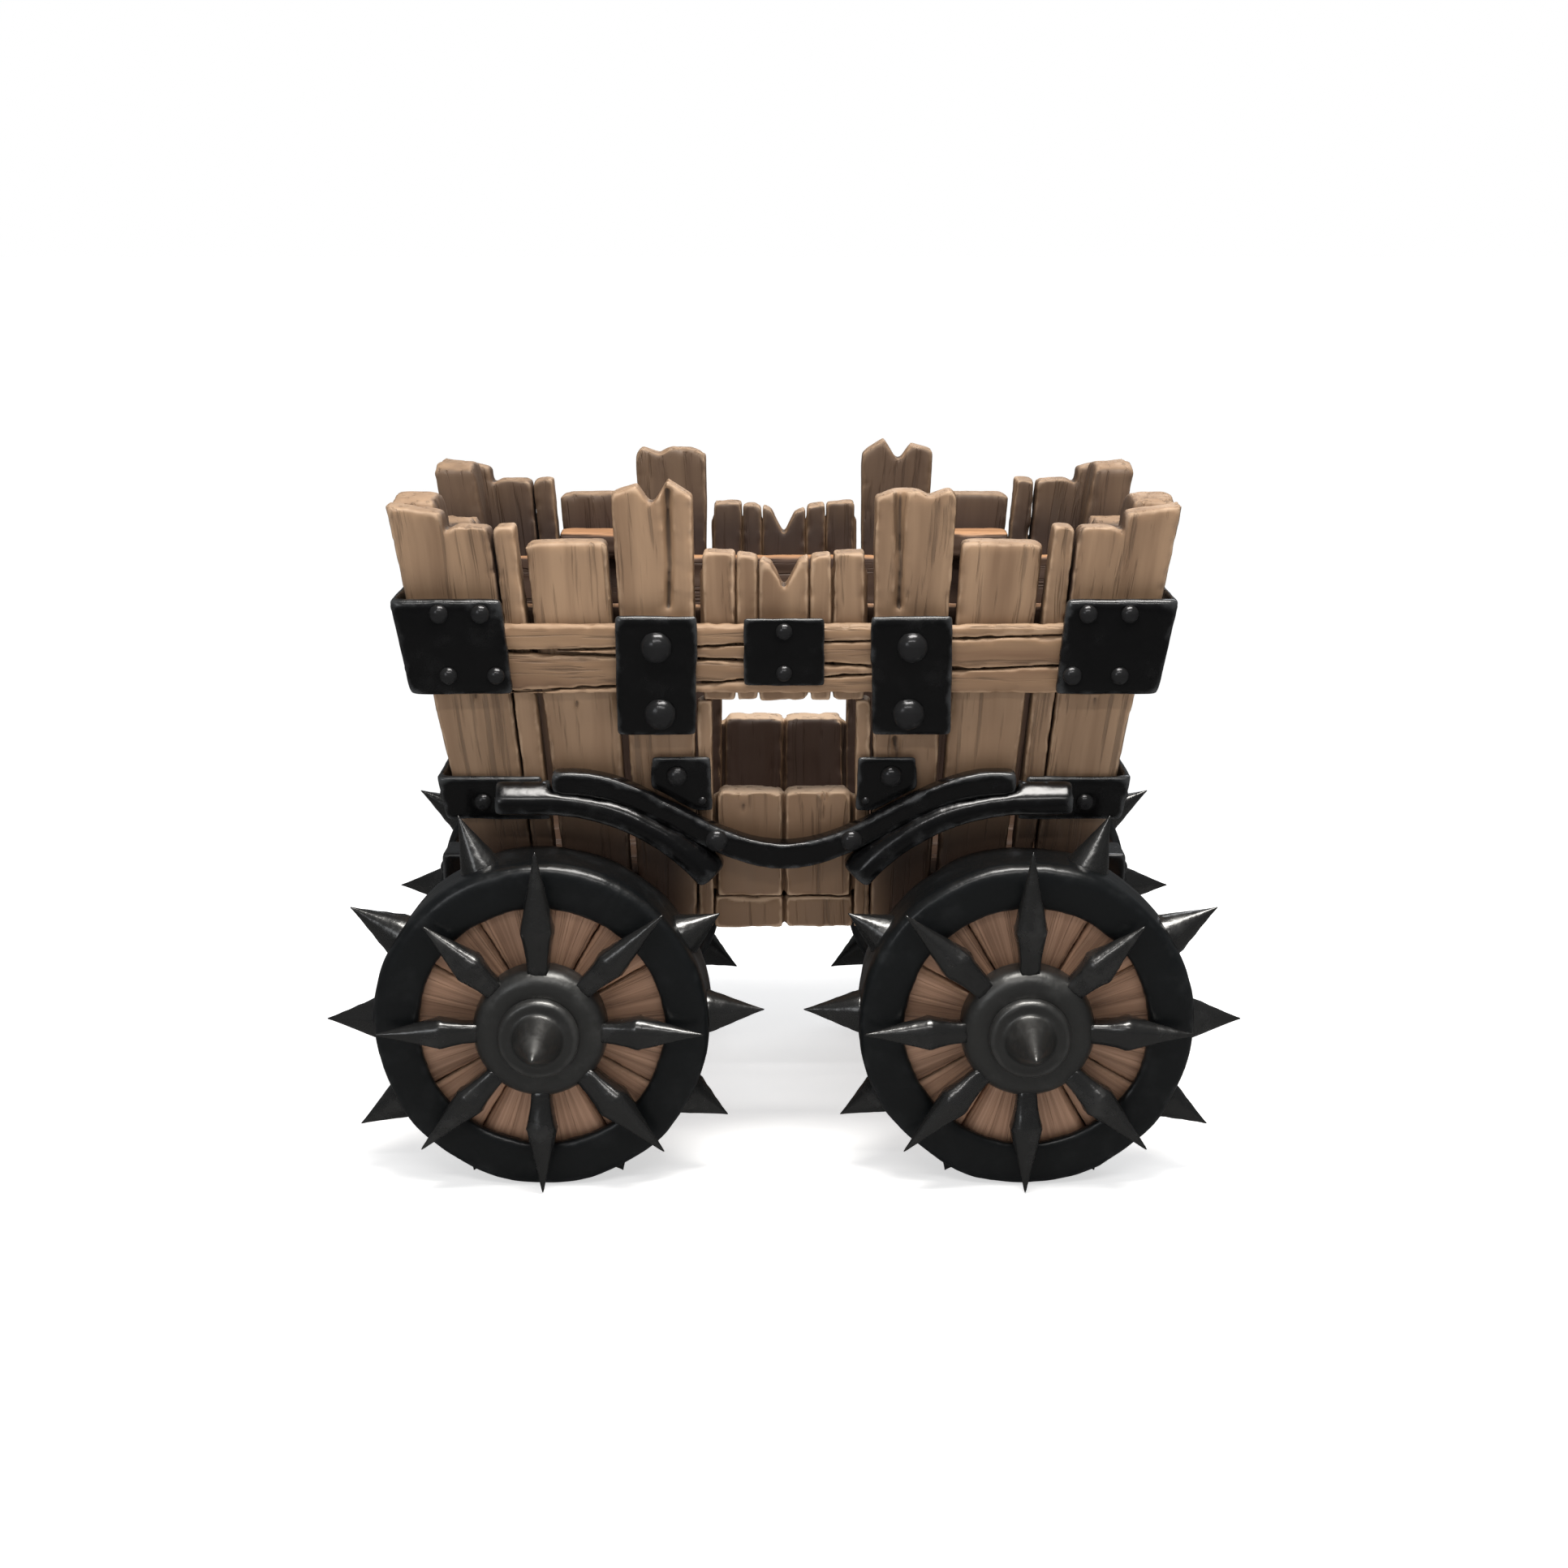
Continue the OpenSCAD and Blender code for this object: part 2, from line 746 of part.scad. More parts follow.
// Fixed axles with a thrust collar behind each hub
module axles() {
    color(STEEL) for (e = [-1, 1])
        translate([e * wheel_x, 0, axle_z]) {
            rotate([90, 0, 0]) cylinder(r = axle_r, h = 2 * axle_end, center = true);
            for (turn = [0, 180])
                rotate([90, 0, turn]) translate([0, 0, hub_back - seat - 16])
                    cylinder(r = axle_r + 18, h = 16);
        }
}

// Ring around every axle end, from a distance out along the axle
module axle_ring(start, length) {
    for (e = [-1, 1])
        for (turn = [0, 180])
            translate([e * wheel_x, 0, axle_z]) rotate([90, 0, turn]) translate([0, 0, start])
                difference() {
                    children();
                    translate([0, 0, -1]) cylinder(r = axle_r + fit, h = length + 2);
                }
}

module axle_washers() {
    color(STEEL) axle_ring(nut_seat + seat, washer_t) cylinder(r = washer_r, h = washer_t);
}

module axle_nuts() {
    color(STEEL) axle_ring(nut_seat + washer_t + 2 * seat, nut_t) cylinder(r = nut_r, h = nut_t, $fn = 6);
}

// ---- Iron plates ----

// Leg of a bracket on the right side, from the rear corner to a distance along the wall
module side_leg(inner, outer, end_out, length, low, high) {
    inner_x = end_x((low + high) / 2) + end_out - length;
    intersection() {
        side_layer(inner, outer);
        through_side([[-end_x(low) - end_out, low], [-end_x(high) - end_out, high],
            [-inner_x - 7, high], [-inner_x + 7, low]]);
    }
}

// Leg of a bracket on the rear end, from the right corner to a distance across the wall
module end_leg(inner, outer, side_out, length, low, high) {
    inner_y = side_y((low + high) / 2) - length;
    intersection() {
        end_layer(inner, outer);
        through_end([[-side_y(low) - side_out, low], [-side_y(high) - side_out, high],
            [-inner_y - 4, high], [-inner_y + 4, low]]);
    }
}

// Bracket bent round a corner of the tub, standing on a layer of wood of its own on each wall
module corner_bracket(side_under, side_plate, end_under, end_plate, leg, low, high) {
    both_sides() both_halves() union() {
        side_leg(side_under + seat, side_under + seat + side_plate,
            end_under + seat + end_plate, leg, low, high);
        end_leg(end_under + seat, end_under + seat + end_plate,
            side_under + seat + side_plate, bracket_end_leg, low, high);
    }
}

module upper_corner_brackets() {
    low = feet + rail_low - 1;
    color(IRON) difference() {
        corner_bracket(side_rail_t, bracket_t, end_rail_t, bracket_end_t, bracket_leg,
            low, low + bracket_height);
        upper_bracket_rivets(true);
    }
}

LOW_BRACKET_LEG = 178;

module lower_bracket_bodies() {
    low = feet + low_bracket_bottom;
    corner_bracket(0, low_plate_t, 0, low_plate_t, LOW_BRACKET_LEG, low, low + low_bracket_height);
}

module lower_corner_brackets() {
    color(IRON) difference() {
        lower_bracket_bodies();
        lower_bracket_rivets(true);
        both_sides() wave_strap_band(-1, seat + strap_t + seat, seat);
    }
}

module post_plates() {
    low = feet + rail_low - 72;
    high = feet + rail_top + 18;
    out = side_rail_t + seat;
    color(IRON) difference() {
        both_sides() both_halves() intersection() {
            side_layer(out, out + post_plate_t);
            through_side([[-centre_seam - 138, low], [-centre_seam - 138, high],
                [-centre_seam + 4, high], [-centre_seam - 2, low]]);
        }
        post_plate_rivets(true);
    }
}

module centre_plates() {
    low = feet + rail_low + 12;
    high = feet + rail_top + 14;
    out = side_rail_t + seat;
    color(IRON) difference() {
        both_sides() intersection() {
            side_layer(out, out + centre_plate_t);
            block([-centre_plate_half, -BIG, low], [centre_plate_half, 0, high]);
        }
        centre_plate_rivets(true);
    }
}

// Small plates beside each hatch, cut back where the wave strap crosses them
module hatch_plates() {
    low = feet + sill_top - 31;
    high = feet + sill_top + 68;
    inner = hatch_half_width;
    color(IRON) difference() {
        both_sides() both_halves() difference() {
            intersection() {
                side_layer(seat, seat + low_plate_t);
                through_side([[-inner - 106, low], [-inner - 104, high], [-inner - 2, high],
                    [-inner + 2, low]]);
            }
            wave_strap_band(0, strap_t + 10, seat);
        }
        hatch_plate_rivets(true);
    }
}

// ---- Wave straps and fenders ----

// Top edge of the wave at a distance from the middle, above the feet of the planks
function wave_top(x) = strap_centre_top + wave_rise * (1 - cos(180 * x / wave_crest)) / 2;

// The band on the right side, grown on all its edges by a clearance
module wave_strap_band(inner, outer, grow) {
    steps = 32;
    xs = [for (i = [0 : steps]) -strap_half + i * 2 * strap_half / steps];
    intersection() {
        side_layer(inner, outer);
        through_side(concat(
            [for (x = xs) [x * (1 + grow / strap_half), feet + wave_top(x) + grow]],
            [for (i = [steps : -1 : 0])
                [xs[i] * (1 + grow / strap_half), feet + wave_top(xs[i]) - strap_height - grow]]));
    }
}

module wave_straps() {
    color(IRON) difference() {
        both_sides() wave_strap_band(seat, seat + strap_t, 0);
        strap_rivets(true);
    }
}

// Mudguard over the rear right wheel: an arc round the axle and a level part, seated on the
// strap, the lower bracket and the wall
module fender() {
    back = side_y(feet) - 20;
    shoulder = fender_r + fender_face;
    crest = shoulder + fender_slope;
    section = [[fender_r, back], [fender_r, fender_front], [shoulder, fender_front],
        [crest, strap_front], [crest, back]];
    difference() {
        translate([-wheel_x, 0, axle_z]) rotate([90, 0, 0]) {
            rotate([0, 0, fender_end_angle]) rotate_extrude(angle = 90 - fender_end_angle, $fn = 96)
                polygon(section);
            translate([-fender_flat, 0, 0]) rotate([90, 0, 90])
                linear_extrude(fender_flat + 0.01) polygon(section);
        }
        side_layer(-side_t, seat);
        wave_strap_band(-1, seat + strap_t + seat, seat);
        lower_bracket_clearance();
    }
}

// Room for the rear right lower bracket behind the fender
module lower_bracket_clearance() {
    low = feet + low_bracket_bottom;
    side_leg(0, low_plate_t + 2 * seat, low_plate_t, LOW_BRACKET_LEG + seat, low - seat,
        low + low_bracket_height + seat);
}

module fenders() {
    color(IRON) both_sides() both_halves() fender();
}

module plate_rivets() {
    color(STEEL) {
        post_plate_rivets(false);
        centre_plate_rivets(false);
        hatch_plate_rivets(false);
    }
}

module bracket_rivets() {
    color(STEEL) {
        upper_bracket_rivets(false);
        lower_bracket_rivets(false);
        strap_rivets(false);
        beam_cap_rivets(false);
    }
}

// ---- Wheels, drawn round +Z, which points outward from the cart ----

module at_wheel(end, side) {
    translate([end * wheel_x, 0, axle_z]) rotate([90, 0, side < 0 ? 0 : 180]) {
        if (end * side < 0) mirror([1, 0, 0]) children();
        else children();
    }
}

// Points a piece drawn along +Z out from the axle at an angle and a distance along the axle
module radially(angle, along, lift) {
    rotate([0, 0, angle]) translate([0, 0, along]) rotate([0, 90 - lift, 0]) children();
}

SPIKE_SHANK_R = 12;
FACE_SHANK_R = 16;

module rim_spike_holes() {
    for (s = concat(RIM_SPIKES, STUB_SPIKES))
        radially(s[0], spike_mid, 0) translate([0, 0, band_r - 5])
            cylinder(r = SPIKE_SHANK_R + fit, h = tyre_t + 10);
}

module tyre() {
    bevel = 10;
    ring_r = wheel_r - face_ring;
    color(IRON) difference() {
        rotate_extrude($fn = 128)
            polygon([[band_r, tyre_in], [wheel_r - bevel, tyre_in], [wheel_r, tyre_in + bevel],
                [wheel_r, tyre_out - bevel], [wheel_r - bevel, tyre_out], [ring_r + 5, tyre_out],
                [ring_r, tyre_out - 5], [ring_r, tyre_out - face_ring_t],
                [band_r, tyre_out - face_ring_t]]);
        rim_spike_holes();
    }
}

// Wedge-shaped boards between hub and tyre
module wheel_boards() {
    color(WOOD) difference() {
        translate([0, 0, board_back]) cylinder(r = band_r - seat, h = board_face - board_back, $fn = 128);
        cylinder(r = nave_r + seat, h = BIG);
        for (i = [0 : wheel_board_count / 2 - 1])
            rotate([0, 0, i * 360 / wheel_board_count])
                translate([-board_gap / 2, -BIG / 2, 0]) cube([board_gap, BIG, BIG / 2]);
    }
}

// Middle of the face spikes' sockets, at the axle
face_spike_base = board_face + 0.59 * hub_flange_h - hub_flange_r * tan(face_spike_lift);

module hub() {
    flange_back = board_face + seat;
    bore = axle_r + bush_wall + fit;
    rim = [for (a = [0 : 15 : 90])
        [hub_flange_r - hub_round + hub_round * cos(a), hub_front - hub_round + hub_round * sin(a)]];
    color(IRON) difference() {
        rotate_extrude($fn = 96)
            polygon(concat([[bore, hub_back], [nave_r, hub_back], [nave_r, flange_back],
                [hub_flange_r, flange_back]], rim, [[cavity_r, hub_front], [cavity_r, nut_seat],
                [bore, nut_seat]]));
        for (i = [0 : 7])
            radially(45 * i, face_spike_base, face_spike_lift) translate([0, 0, nave_r])
                cylinder(r = FACE_SHANK_R + fit, h = hub_flange_r);
    }
}

module bush() {
    color(BRONZE) translate([0, 0, hub_back + seat]) difference() {
        cylinder(r = axle_r + bush_wall, h = nut_seat - hub_back - 2 * seat);
        translate([0, 0, -1]) cylinder(r = axle_r + fit, h = BIG);
    }
}

// Cap over the axle's end: a stepped base with a long cone on it
module hub_cap() {
    color(IRON) rotate_extrude($fn = 96)
        polygon([[cavity_r, hub_front + seat], [cap_r, hub_front + seat], [cap_r, cap_face - 8],
            [cap_r - 7, cap_face], [cone_r, cap_face - 2], [4, cap_face + cone_l - 6],
            [0, cap_face + cone_l], [0, cavity_end + 6], [cavity_r, hub_front + 6]]);
}

module face_spikes() {
    start = hub_flange_r + 0.6;
    shoulder = start + face_spike_shoulder;
    color(STEEL) for (i = [0 : 7])
        radially(45 * i, face_spike_base, face_spike_lift) {
            tip = FACE_TIPS[i] / cos(face_spike_lift);
            rotate_extrude($fn = 48)
                polygon([[0, nave_r + 2], [FACE_SHANK_R, nave_r + 2], [FACE_SHANK_R, start],
                    [face_spike_root_r, start], [face_spike_r, shoulder], [3, tip - 5], [0, tip]]);
        }
}

// Cone seated on the tread, with a shank through the tyre's band
module rim_spike(angle, length, base_r) {
    radially(angle, spike_mid, 0) {
        depth = 8;
        low_r = base_r * (length + depth) / length;
        difference() {
            rotate_extrude($fn = 48)
                polygon([[0, wheel_r - depth], [low_r, wheel_r - depth], [2.5, wheel_r + length - 5],
                    [0, wheel_r + length]]);
            rotate([0, -90, 0]) cylinder(r = wheel_r + seat, h = BIG, center = true, $fn = 128);
        }
        translate([0, 0, band_r + 2]) cylinder(r = SPIKE_SHANK_R, h = tyre_t + 4);
    }
}

module rim_spikes() {
    color(STEEL) {
        for (s = RIM_SPIKES) rim_spike(s[0], s[1], rim_spike_r);
        for (s = STUB_SPIKES) rim_spike(s[0], s[1], stub_r);
    }
}

right_corner_planks();
left_corner_planks();
side_planks();
right_posts();
left_posts();
centre_boards();
hatch_surround();
front_end_planks();
rear_end_planks();
side_rails();
end_rails();
inner_battens();
shelf_blocks();
floor_planks();
draw_beam();
side_sills();
bolsters();
axle_blocks();
axles();
axle_washers();
axle_nuts();
beam_caps();
upper_corner_brackets();
lower_corner_brackets();
post_plates();
centre_plates();
hatch_plates();
wave_straps();
fenders();
plate_rivets();
bracket_rivets();
at_wheel(1, -1) tyre();  // front_right_tyre
at_wheel(1, -1) wheel_boards();  // front_right_wheel_boards
at_wheel(1, -1) hub();  // front_right_hub
at_wheel(1, -1) bush();  // front_right_bush
at_wheel(1, -1) hub_cap();  // front_right_hub_cap
at_wheel(1, -1) face_spikes();  // front_right_face_spikes
at_wheel(1, -1) rim_spikes();  // front_right_rim_spikes
at_wheel(-1, -1) tyre();  // rear_right_tyre
at_wheel(-1, -1) wheel_boards();  // rear_right_wheel_boards
at_wheel(-1, -1) hub();  // rear_right_hub
at_wheel(-1, -1) bush();  // rear_right_bush
at_wheel(-1, -1) hub_cap();  // rear_right_hub_cap
at_wheel(-1, -1) face_spikes();  // rear_right_face_spikes
at_wheel(-1, -1) rim_spikes();  // rear_right_rim_spikes
at_wheel(1, 1) tyre();  // front_left_tyre
at_wheel(1, 1) wheel_boards();  // front_left_wheel_boards
at_wheel(1, 1) hub();  // front_left_hub
at_wheel(1, 1) bush();  // front_left_bush
at_wheel(1, 1) hub_cap();  // front_left_hub_cap
at_wheel(1, 1) face_spikes();  // front_left_face_spikes
at_wheel(1, 1) rim_spikes();  // front_left_rim_spikes
at_wheel(-1, 1) tyre();  // rear_left_tyre
at_wheel(-1, 1) wheel_boards();  // rear_left_wheel_boards
at_wheel(-1, 1) hub();  // rear_left_hub
at_wheel(-1, 1) bush();  // rear_left_bush
at_wheel(-1, 1) hub_cap();  // rear_left_hub_cap
at_wheel(-1, 1) face_spikes();  // rear_left_face_spikes
at_wheel(-1, 1) rim_spikes();  // rear_left_rim_spikes
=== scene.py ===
# %% [markdown]
# # A spiked mine cart
# The cart is an open tub of thick, broken planks. Forged iron plates hold it together, and it
# stands on four spiked wheels. The exact shapes come from the engineering model, which is
# loaded here as a frame. This script gives each piece the soft, worn skin that old timber and
# hand-forged iron have, then sets the lights and the camera.

# %% Load the frame
import math
import bmesh
import bpy
import numpy as np
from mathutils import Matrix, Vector


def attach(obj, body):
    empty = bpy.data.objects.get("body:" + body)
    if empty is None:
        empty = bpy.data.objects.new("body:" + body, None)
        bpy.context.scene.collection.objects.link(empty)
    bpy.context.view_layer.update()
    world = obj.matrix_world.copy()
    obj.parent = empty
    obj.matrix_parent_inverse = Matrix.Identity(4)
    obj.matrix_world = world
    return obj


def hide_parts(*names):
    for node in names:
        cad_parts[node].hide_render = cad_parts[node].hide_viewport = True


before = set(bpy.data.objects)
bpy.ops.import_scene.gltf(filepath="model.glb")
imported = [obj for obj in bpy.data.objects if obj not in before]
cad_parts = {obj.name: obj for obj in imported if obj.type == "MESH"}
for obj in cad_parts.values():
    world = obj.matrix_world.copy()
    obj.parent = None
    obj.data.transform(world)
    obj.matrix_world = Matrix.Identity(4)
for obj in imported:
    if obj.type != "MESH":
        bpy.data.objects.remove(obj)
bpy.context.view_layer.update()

# %% [markdown]
# ## Sizes that several pieces share
# A builder keeps the sizes that many pieces need in one place. All lengths are in metres. The
# walls of the tub lean outwards, so the outer face at any height is worked out by a function.

# %% Shared sizes
TOP_Z = 1.150
SIDE_TOP_Y = 0.375
SIDE_LEAN = math.radians(4.92)
AXLE_Z = 0.280
WHEEL_X = 0.403
WHEELS = {
    "front_right": (1, -1),
    "rear_right": (-1, -1),
    "front_left": (1, 1),
    "rear_left": (-1, 1),
}


def side_face(z):
    return SIDE_TOP_Y - math.tan(SIDE_LEAN) * (TOP_Z - z)


print("side wall leans by", round(math.degrees(SIDE_LEAN), 2), "degrees")

# %% [markdown]
# ## Small helpers for node trees
# Node trees for shapes and for materials are built the same way: make a node, set its values,
# and link its sockets. These helpers keep every tree below short: one makes any node, and the
# others make the few kinds that come back often. A modifier's inputs are set by each socket's
# identifier, because names may repeat but identifiers don't.

# %% Node helpers
def add(tree, kind, values=None, **settings):
    made = tree.nodes.new(kind)
    for key, value in settings.items():
        setattr(made, key, value)
    for key, value in (values or {}).items():
        if isinstance(value, bpy.types.NodeSocket):
            tree.links.new(value, made.inputs[key])
        else:
            made.inputs[key].default_value = value
    return made


def new_tree(name, kind, inputs, outputs):
    tree = bpy.data.node_groups.new(name, kind)
    for label, socket in inputs:
        tree.interface.new_socket(label, in_out="INPUT", socket_type="NodeSocket" + socket)
    for label, socket in outputs:
        tree.interface.new_socket(label, in_out="OUTPUT", socket_type="NodeSocket" + socket)
    return tree, tree.nodes.new("NodeGroupInput"), tree.nodes.new("NodeGroupOutput")


def send(tree, result, values):
    for label, value in values.items():
        tree.links.new(value, result.inputs[label])
    return tree


def maths(tree, operation, *values):
    return add(tree, "ShaderNodeMath", dict(enumerate(values)), operation=operation).outputs[0]


def times(tree, a, b):
    return maths(tree, "MULTIPLY", a, b)


def vector_maths(tree, operation, a, b):
    return add(tree, "ShaderNodeVectorMath", {0: a, 1: b}, operation=operation).outputs[0]


def ramp(tree, value, low=0.0, high=1.0, start=0.0, end=1.0, curve="LINEAR"):
    return add(tree, "ShaderNodeMapRange",
               {"Value": value, "From Min": low, "From Max": high, "To Min": start, "To Max": end},
               interpolation_type=curve).outputs[0]


def noise(tree, vector, scale, detail, roughness=0.5, seed=None):
    values = {"Vector": vector, "Scale": scale, "Detail": detail, "Roughness": roughness}
    if seed is None:
        return add(tree, "ShaderNodeTexNoise", values).outputs
    values["W"] = seed
    return add(tree, "ShaderNodeTexNoise", values, noise_dimensions="4D").outputs


def live(sockets, name="Value"):
    return next(s for s in sockets if s.name == name and s.enabled)


def with_tree(piece, tree, values):
    modifier = piece.modifiers.new(tree.name, "NODES")
    modifier.node_group = tree
    for item in tree.interface.items_tree:
        if item.item_type == "SOCKET" and item.in_out == "INPUT" and item.name in values:
            modifier[item.identifier] = values[item.name]


def plain_mesh(piece):
    piece.update_tag()
    bpy.context.view_layer.update()
    finished = piece.evaluated_get(bpy.context.evaluated_depsgraph_get())
    mesh = bpy.data.meshes.new_from_object(finished)
    old = piece.data
    bpy.data.objects.remove(piece)
    if old.users == 0:
        bpy.data.meshes.remove(old)
    return mesh


def values_of(data, name, width=1, kind=np.float32):
    found = np.empty(len(data) * width, dtype=kind)
    data.foreach_get(name, found)
    return found.reshape(-1, width) if width > 1 else found


def points_of(mesh):
    return values_of(mesh.vertices, "co", 3, np.float64)


def closed_mesh(made, name):
    bmesh.ops.recalc_face_normals(made, faces=made.faces)
    mesh = bpy.data.meshes.new(name)
    made.to_mesh(mesh)
    made.free()
    return mesh


def new_object(name, mesh):
    piece = bpy.data.objects.new(name, mesh)
    bpy.context.scene.collection.objects.link(piece)
    return piece


print("helpers ready")

# %% [markdown]
# ## Shader group: timber grain
# Grain runs along each board, whichever way the board lies. Every timber piece carries its own
# grain coordinates, where the third number runs along the board. Noise that is squeezed
# in that direction becomes long streaks. The group gives broad streaks, fine dark lines and a
# height for the bump, and the board number shifts the noise so no two boards match.

# %% Timber grain group
def build_grain():
    tree, given, result = new_tree(
        "timber_grain", "ShaderNodeTree",
        [("Vector", "Vector"), ("Board", "Float")],
        [("Streaks", "Float"), ("Lines", "Float"), ("Height", "Float")])
    straight = given.outputs["Vector"]
    seed = times(tree, given.outputs["Board"], 37.0)
    sway = noise(tree, straight, 5.0, 1.0, seed=seed)["Color"]
    slight = vector_maths(tree, "MULTIPLY", sway, (0.022, 0.022, 0.0))
    bent = vector_maths(tree, "ADD", straight, slight)
    broad_at = vector_maths(tree, "MULTIPLY", bent, (26.0, 26.0, 1.9))
    broad = noise(tree, broad_at, 1.0, 3.0, 0.55, seed)["Fac"]
    fine_at = vector_maths(tree, "MULTIPLY", bent, (75.0, 75.0, 2.6))
    fine = noise(tree, fine_at, 1.0, 3.0, 0.6, seed)["Fac"]
    lines = ramp(tree, fine, 0.555, 0.66, curve="SMOOTHSTEP")
    streaks = ramp(tree, broad, 0.34, 0.66)
    height = maths(tree, "MULTIPLY_ADD", broad, 0.9, times(tree, lines, -0.8))
    return send(tree, result, {"Streaks": streaks, "Lines": lines, "Height": height})


GRAIN = build_grain()
print("group", GRAIN.name, len(GRAIN.nodes), "nodes")

# %% [markdown]
# ## Shader group: worn edges and dark dips
# Hands, rope and ore rub the corners first, so edges turn pale or bright; on the iron plates the
# bright edges are also a painted highlight. The dips get painted shade. Each finished piece
# carries a number that is positive on its edges and negative in its dips. Noise breaks the mask
# up, so that the wear isn't an even outline.

# %% Wear group
def build_wear():
    tree, given, result = new_tree(
        "edge_wear", "ShaderNodeTree",
        [("Vector", "Vector"), ("Edge", "Float"), ("Start", "Float"), ("Break Up", "Float")],
        [("Worn", "Float"), ("Dips", "Float")])
    values = given.outputs
    patchy = maths(tree, "SUBTRACT", noise(tree, values["Vector"], 38.0, 3.0)["Fac"], 0.5)
    broken = maths(tree, "MULTIPLY_ADD", patchy, values["Break Up"], values["Edge"])
    end = maths(tree, "ADD", values["Start"], 0.55)
    worn = ramp(tree, broken, values["Start"], end, curve="SMOOTHSTEP")
    # The dips mask is for painted shade.
    dips = ramp(tree, values["Edge"], -0.10, -0.75, curve="SMOOTHSTEP")
    return send(tree, result, {"Worn": worn, "Dips": dips})


WEAR = build_wear()
print("group", WEAR.name, len(WEAR.nodes), "nodes")

# %% [markdown]
# ## Shader group: dust and grime
# Dust settles in soft patches of several sizes. This group gives one patchy mask that
# the wood uses for darker stains, and the iron for a paler and duller film.

# %% Grime group
def build_grime():
    tree, given, result = new_tree(
        "grime", "ShaderNodeTree",
        [("Vector", "Vector"), ("Size", "Float"), ("Cover", "Float")], [("Patches", "Float")])
    values = given.outputs
    cloudy = noise(tree, values["Vector"], values["Size"], 4.0, 0.6)["Fac"]
    low = maths(tree, "SUBTRACT", 0.75, values["Cover"])
    high = maths(tree, "ADD", low, 0.3)
    return send(tree, result, {"Patches": ramp(tree, cloudy, low, high, curve="SMOOTHSTEP")})


GRIME = build_grime()
print("group", GRIME.name, len(GRIME.nodes), "nodes")

# %% [markdown]
# ## Timber materials
# One recipe serves every kind of timber on the cart: a main colour, a deeper colour in the
# streaks, near-black cracks, pale rubbed edges and stained patches. The boards get darker
# towards the ground, as dirt mixed with painted shade, their tops get painted light, and the
# inside of the tub and the dips get painted shade. Only the colours and amounts differ, so the
# recipe is a function.

# %% Timber recipe
def mix(tree, factor, low, high):
    made = add(tree, "ShaderNodeMix", data_type="RGBA")
    for socket, value in (("Factor_Float", factor), ("A_Color", low), ("B_Color", high)):
        target = next(s for s in made.inputs if s.identifier == socket)
        if isinstance(value, bpy.types.NodeSocket):
            tree.links.new(value, target)
        else:
            target.default_value = value
    return next(s for s in made.outputs if s.identifier == "Result_Color")


def group(tree, which, values):
    return add(tree, "ShaderNodeGroup", values, node_tree=which).outputs


def attribute(tree, name, output="Fac"):
    return add(tree, "ShaderNodeAttribute", attribute_name=name).outputs[output]


def new_material(name):
    material = bpy.data.materials.new("aged_" + name)
    material.use_nodes = True
    tree = material.node_tree
    place = add(tree, "ShaderNodeTexCoord").outputs["Object"]
    return material, tree, tree.nodes["Principled BSDF"], place


CRACK_AND_DIP_SHADE = (0.030, 0.017, 0.010, 1)
PAINTED_SHADE_COLOUR = (0.026, 0.013, 0.009, 1)
WOOD_ROUGHNESS = (0.54, 0.72)


def timber(name, main, streak, pale, worn=0.45, low_dirt_and_shade=1.0, painted_shade_amount=0.95):
    material, tree, shader, place = new_material(name)
    board = attribute(tree, "board")
    edge = attribute(tree, "edge")
    shade = attribute(tree, "shade")
    grain = group(tree, GRAIN, {"Vector": attribute(tree, "grain", "Vector"), "Board": board})
    wear = group(tree, WEAR, {"Vector": place, "Edge": edge, "Start": 0.42, "Break Up": 0.7})
    grime = group(tree, GRIME, {"Vector": place, "Size": 7.0, "Cover": 0.12})
    # Rubbed edges are hidden where there is painted shade.
    outside_painted_shade = ramp(tree, shade, start=1.0, end=0.08)
    tone = mix(tree, times(tree, grain["Streaks"], 0.90), main, streak)
    board_tone = ramp(tree, board, start=0.90, end=1.06)
    varied = add(tree, "ShaderNodeHueSaturation", {"Color": tone, "Value": board_tone}).outputs[0]
    stained = mix(tree, times(tree, grime["Patches"], 0.30), varied, streak)
    # Darker low down: dirt mixed with painted shade.
    dirtied_and_shaded = mix(tree, times(tree, attribute(tree, "ground_dirt_and_shade"), low_dirt_and_shade), stained, streak)
    # Painted light on the faces that look up.
    top_lit = mix(tree, times(tree, attribute(tree, "top"), 0.90), dirtied_and_shaded, pale)
    # Painted shade inside the tub and low down behind the wheels.
    painted_shaded = mix(tree, times(tree, shade, painted_shade_amount), top_lit, PAINTED_SHADE_COLOUR)
    lined = mix(tree, times(tree, grain["Lines"], 0.38), painted_shaded, CRACK_AND_DIP_SHADE)
    # Painted shade in the dips, in the crack colour.
    dipped = mix(tree, times(tree, wear["Dips"], 0.85), lined, CRACK_AND_DIP_SHADE)
    rubbing = times(tree, times(tree, wear["Worn"], worn), outside_painted_shade)
    tree.links.new(mix(tree, rubbing, dipped, pale), shader.inputs["Base Color"])
    low, high = WOOD_ROUGHNESS
    tree.links.new(ramp(tree, grain["Streaks"], start=low, end=high), shader.inputs["Roughness"])
    shader.inputs["Specular IOR Level"].default_value = 0.35
    bump = add(tree, "ShaderNodeBump",
               {"Height": grain["Height"], "Strength": 0.55, "Distance": 0.004})
    tree.links.new(bump.outputs[0], shader.inputs["Normal"])
    return material


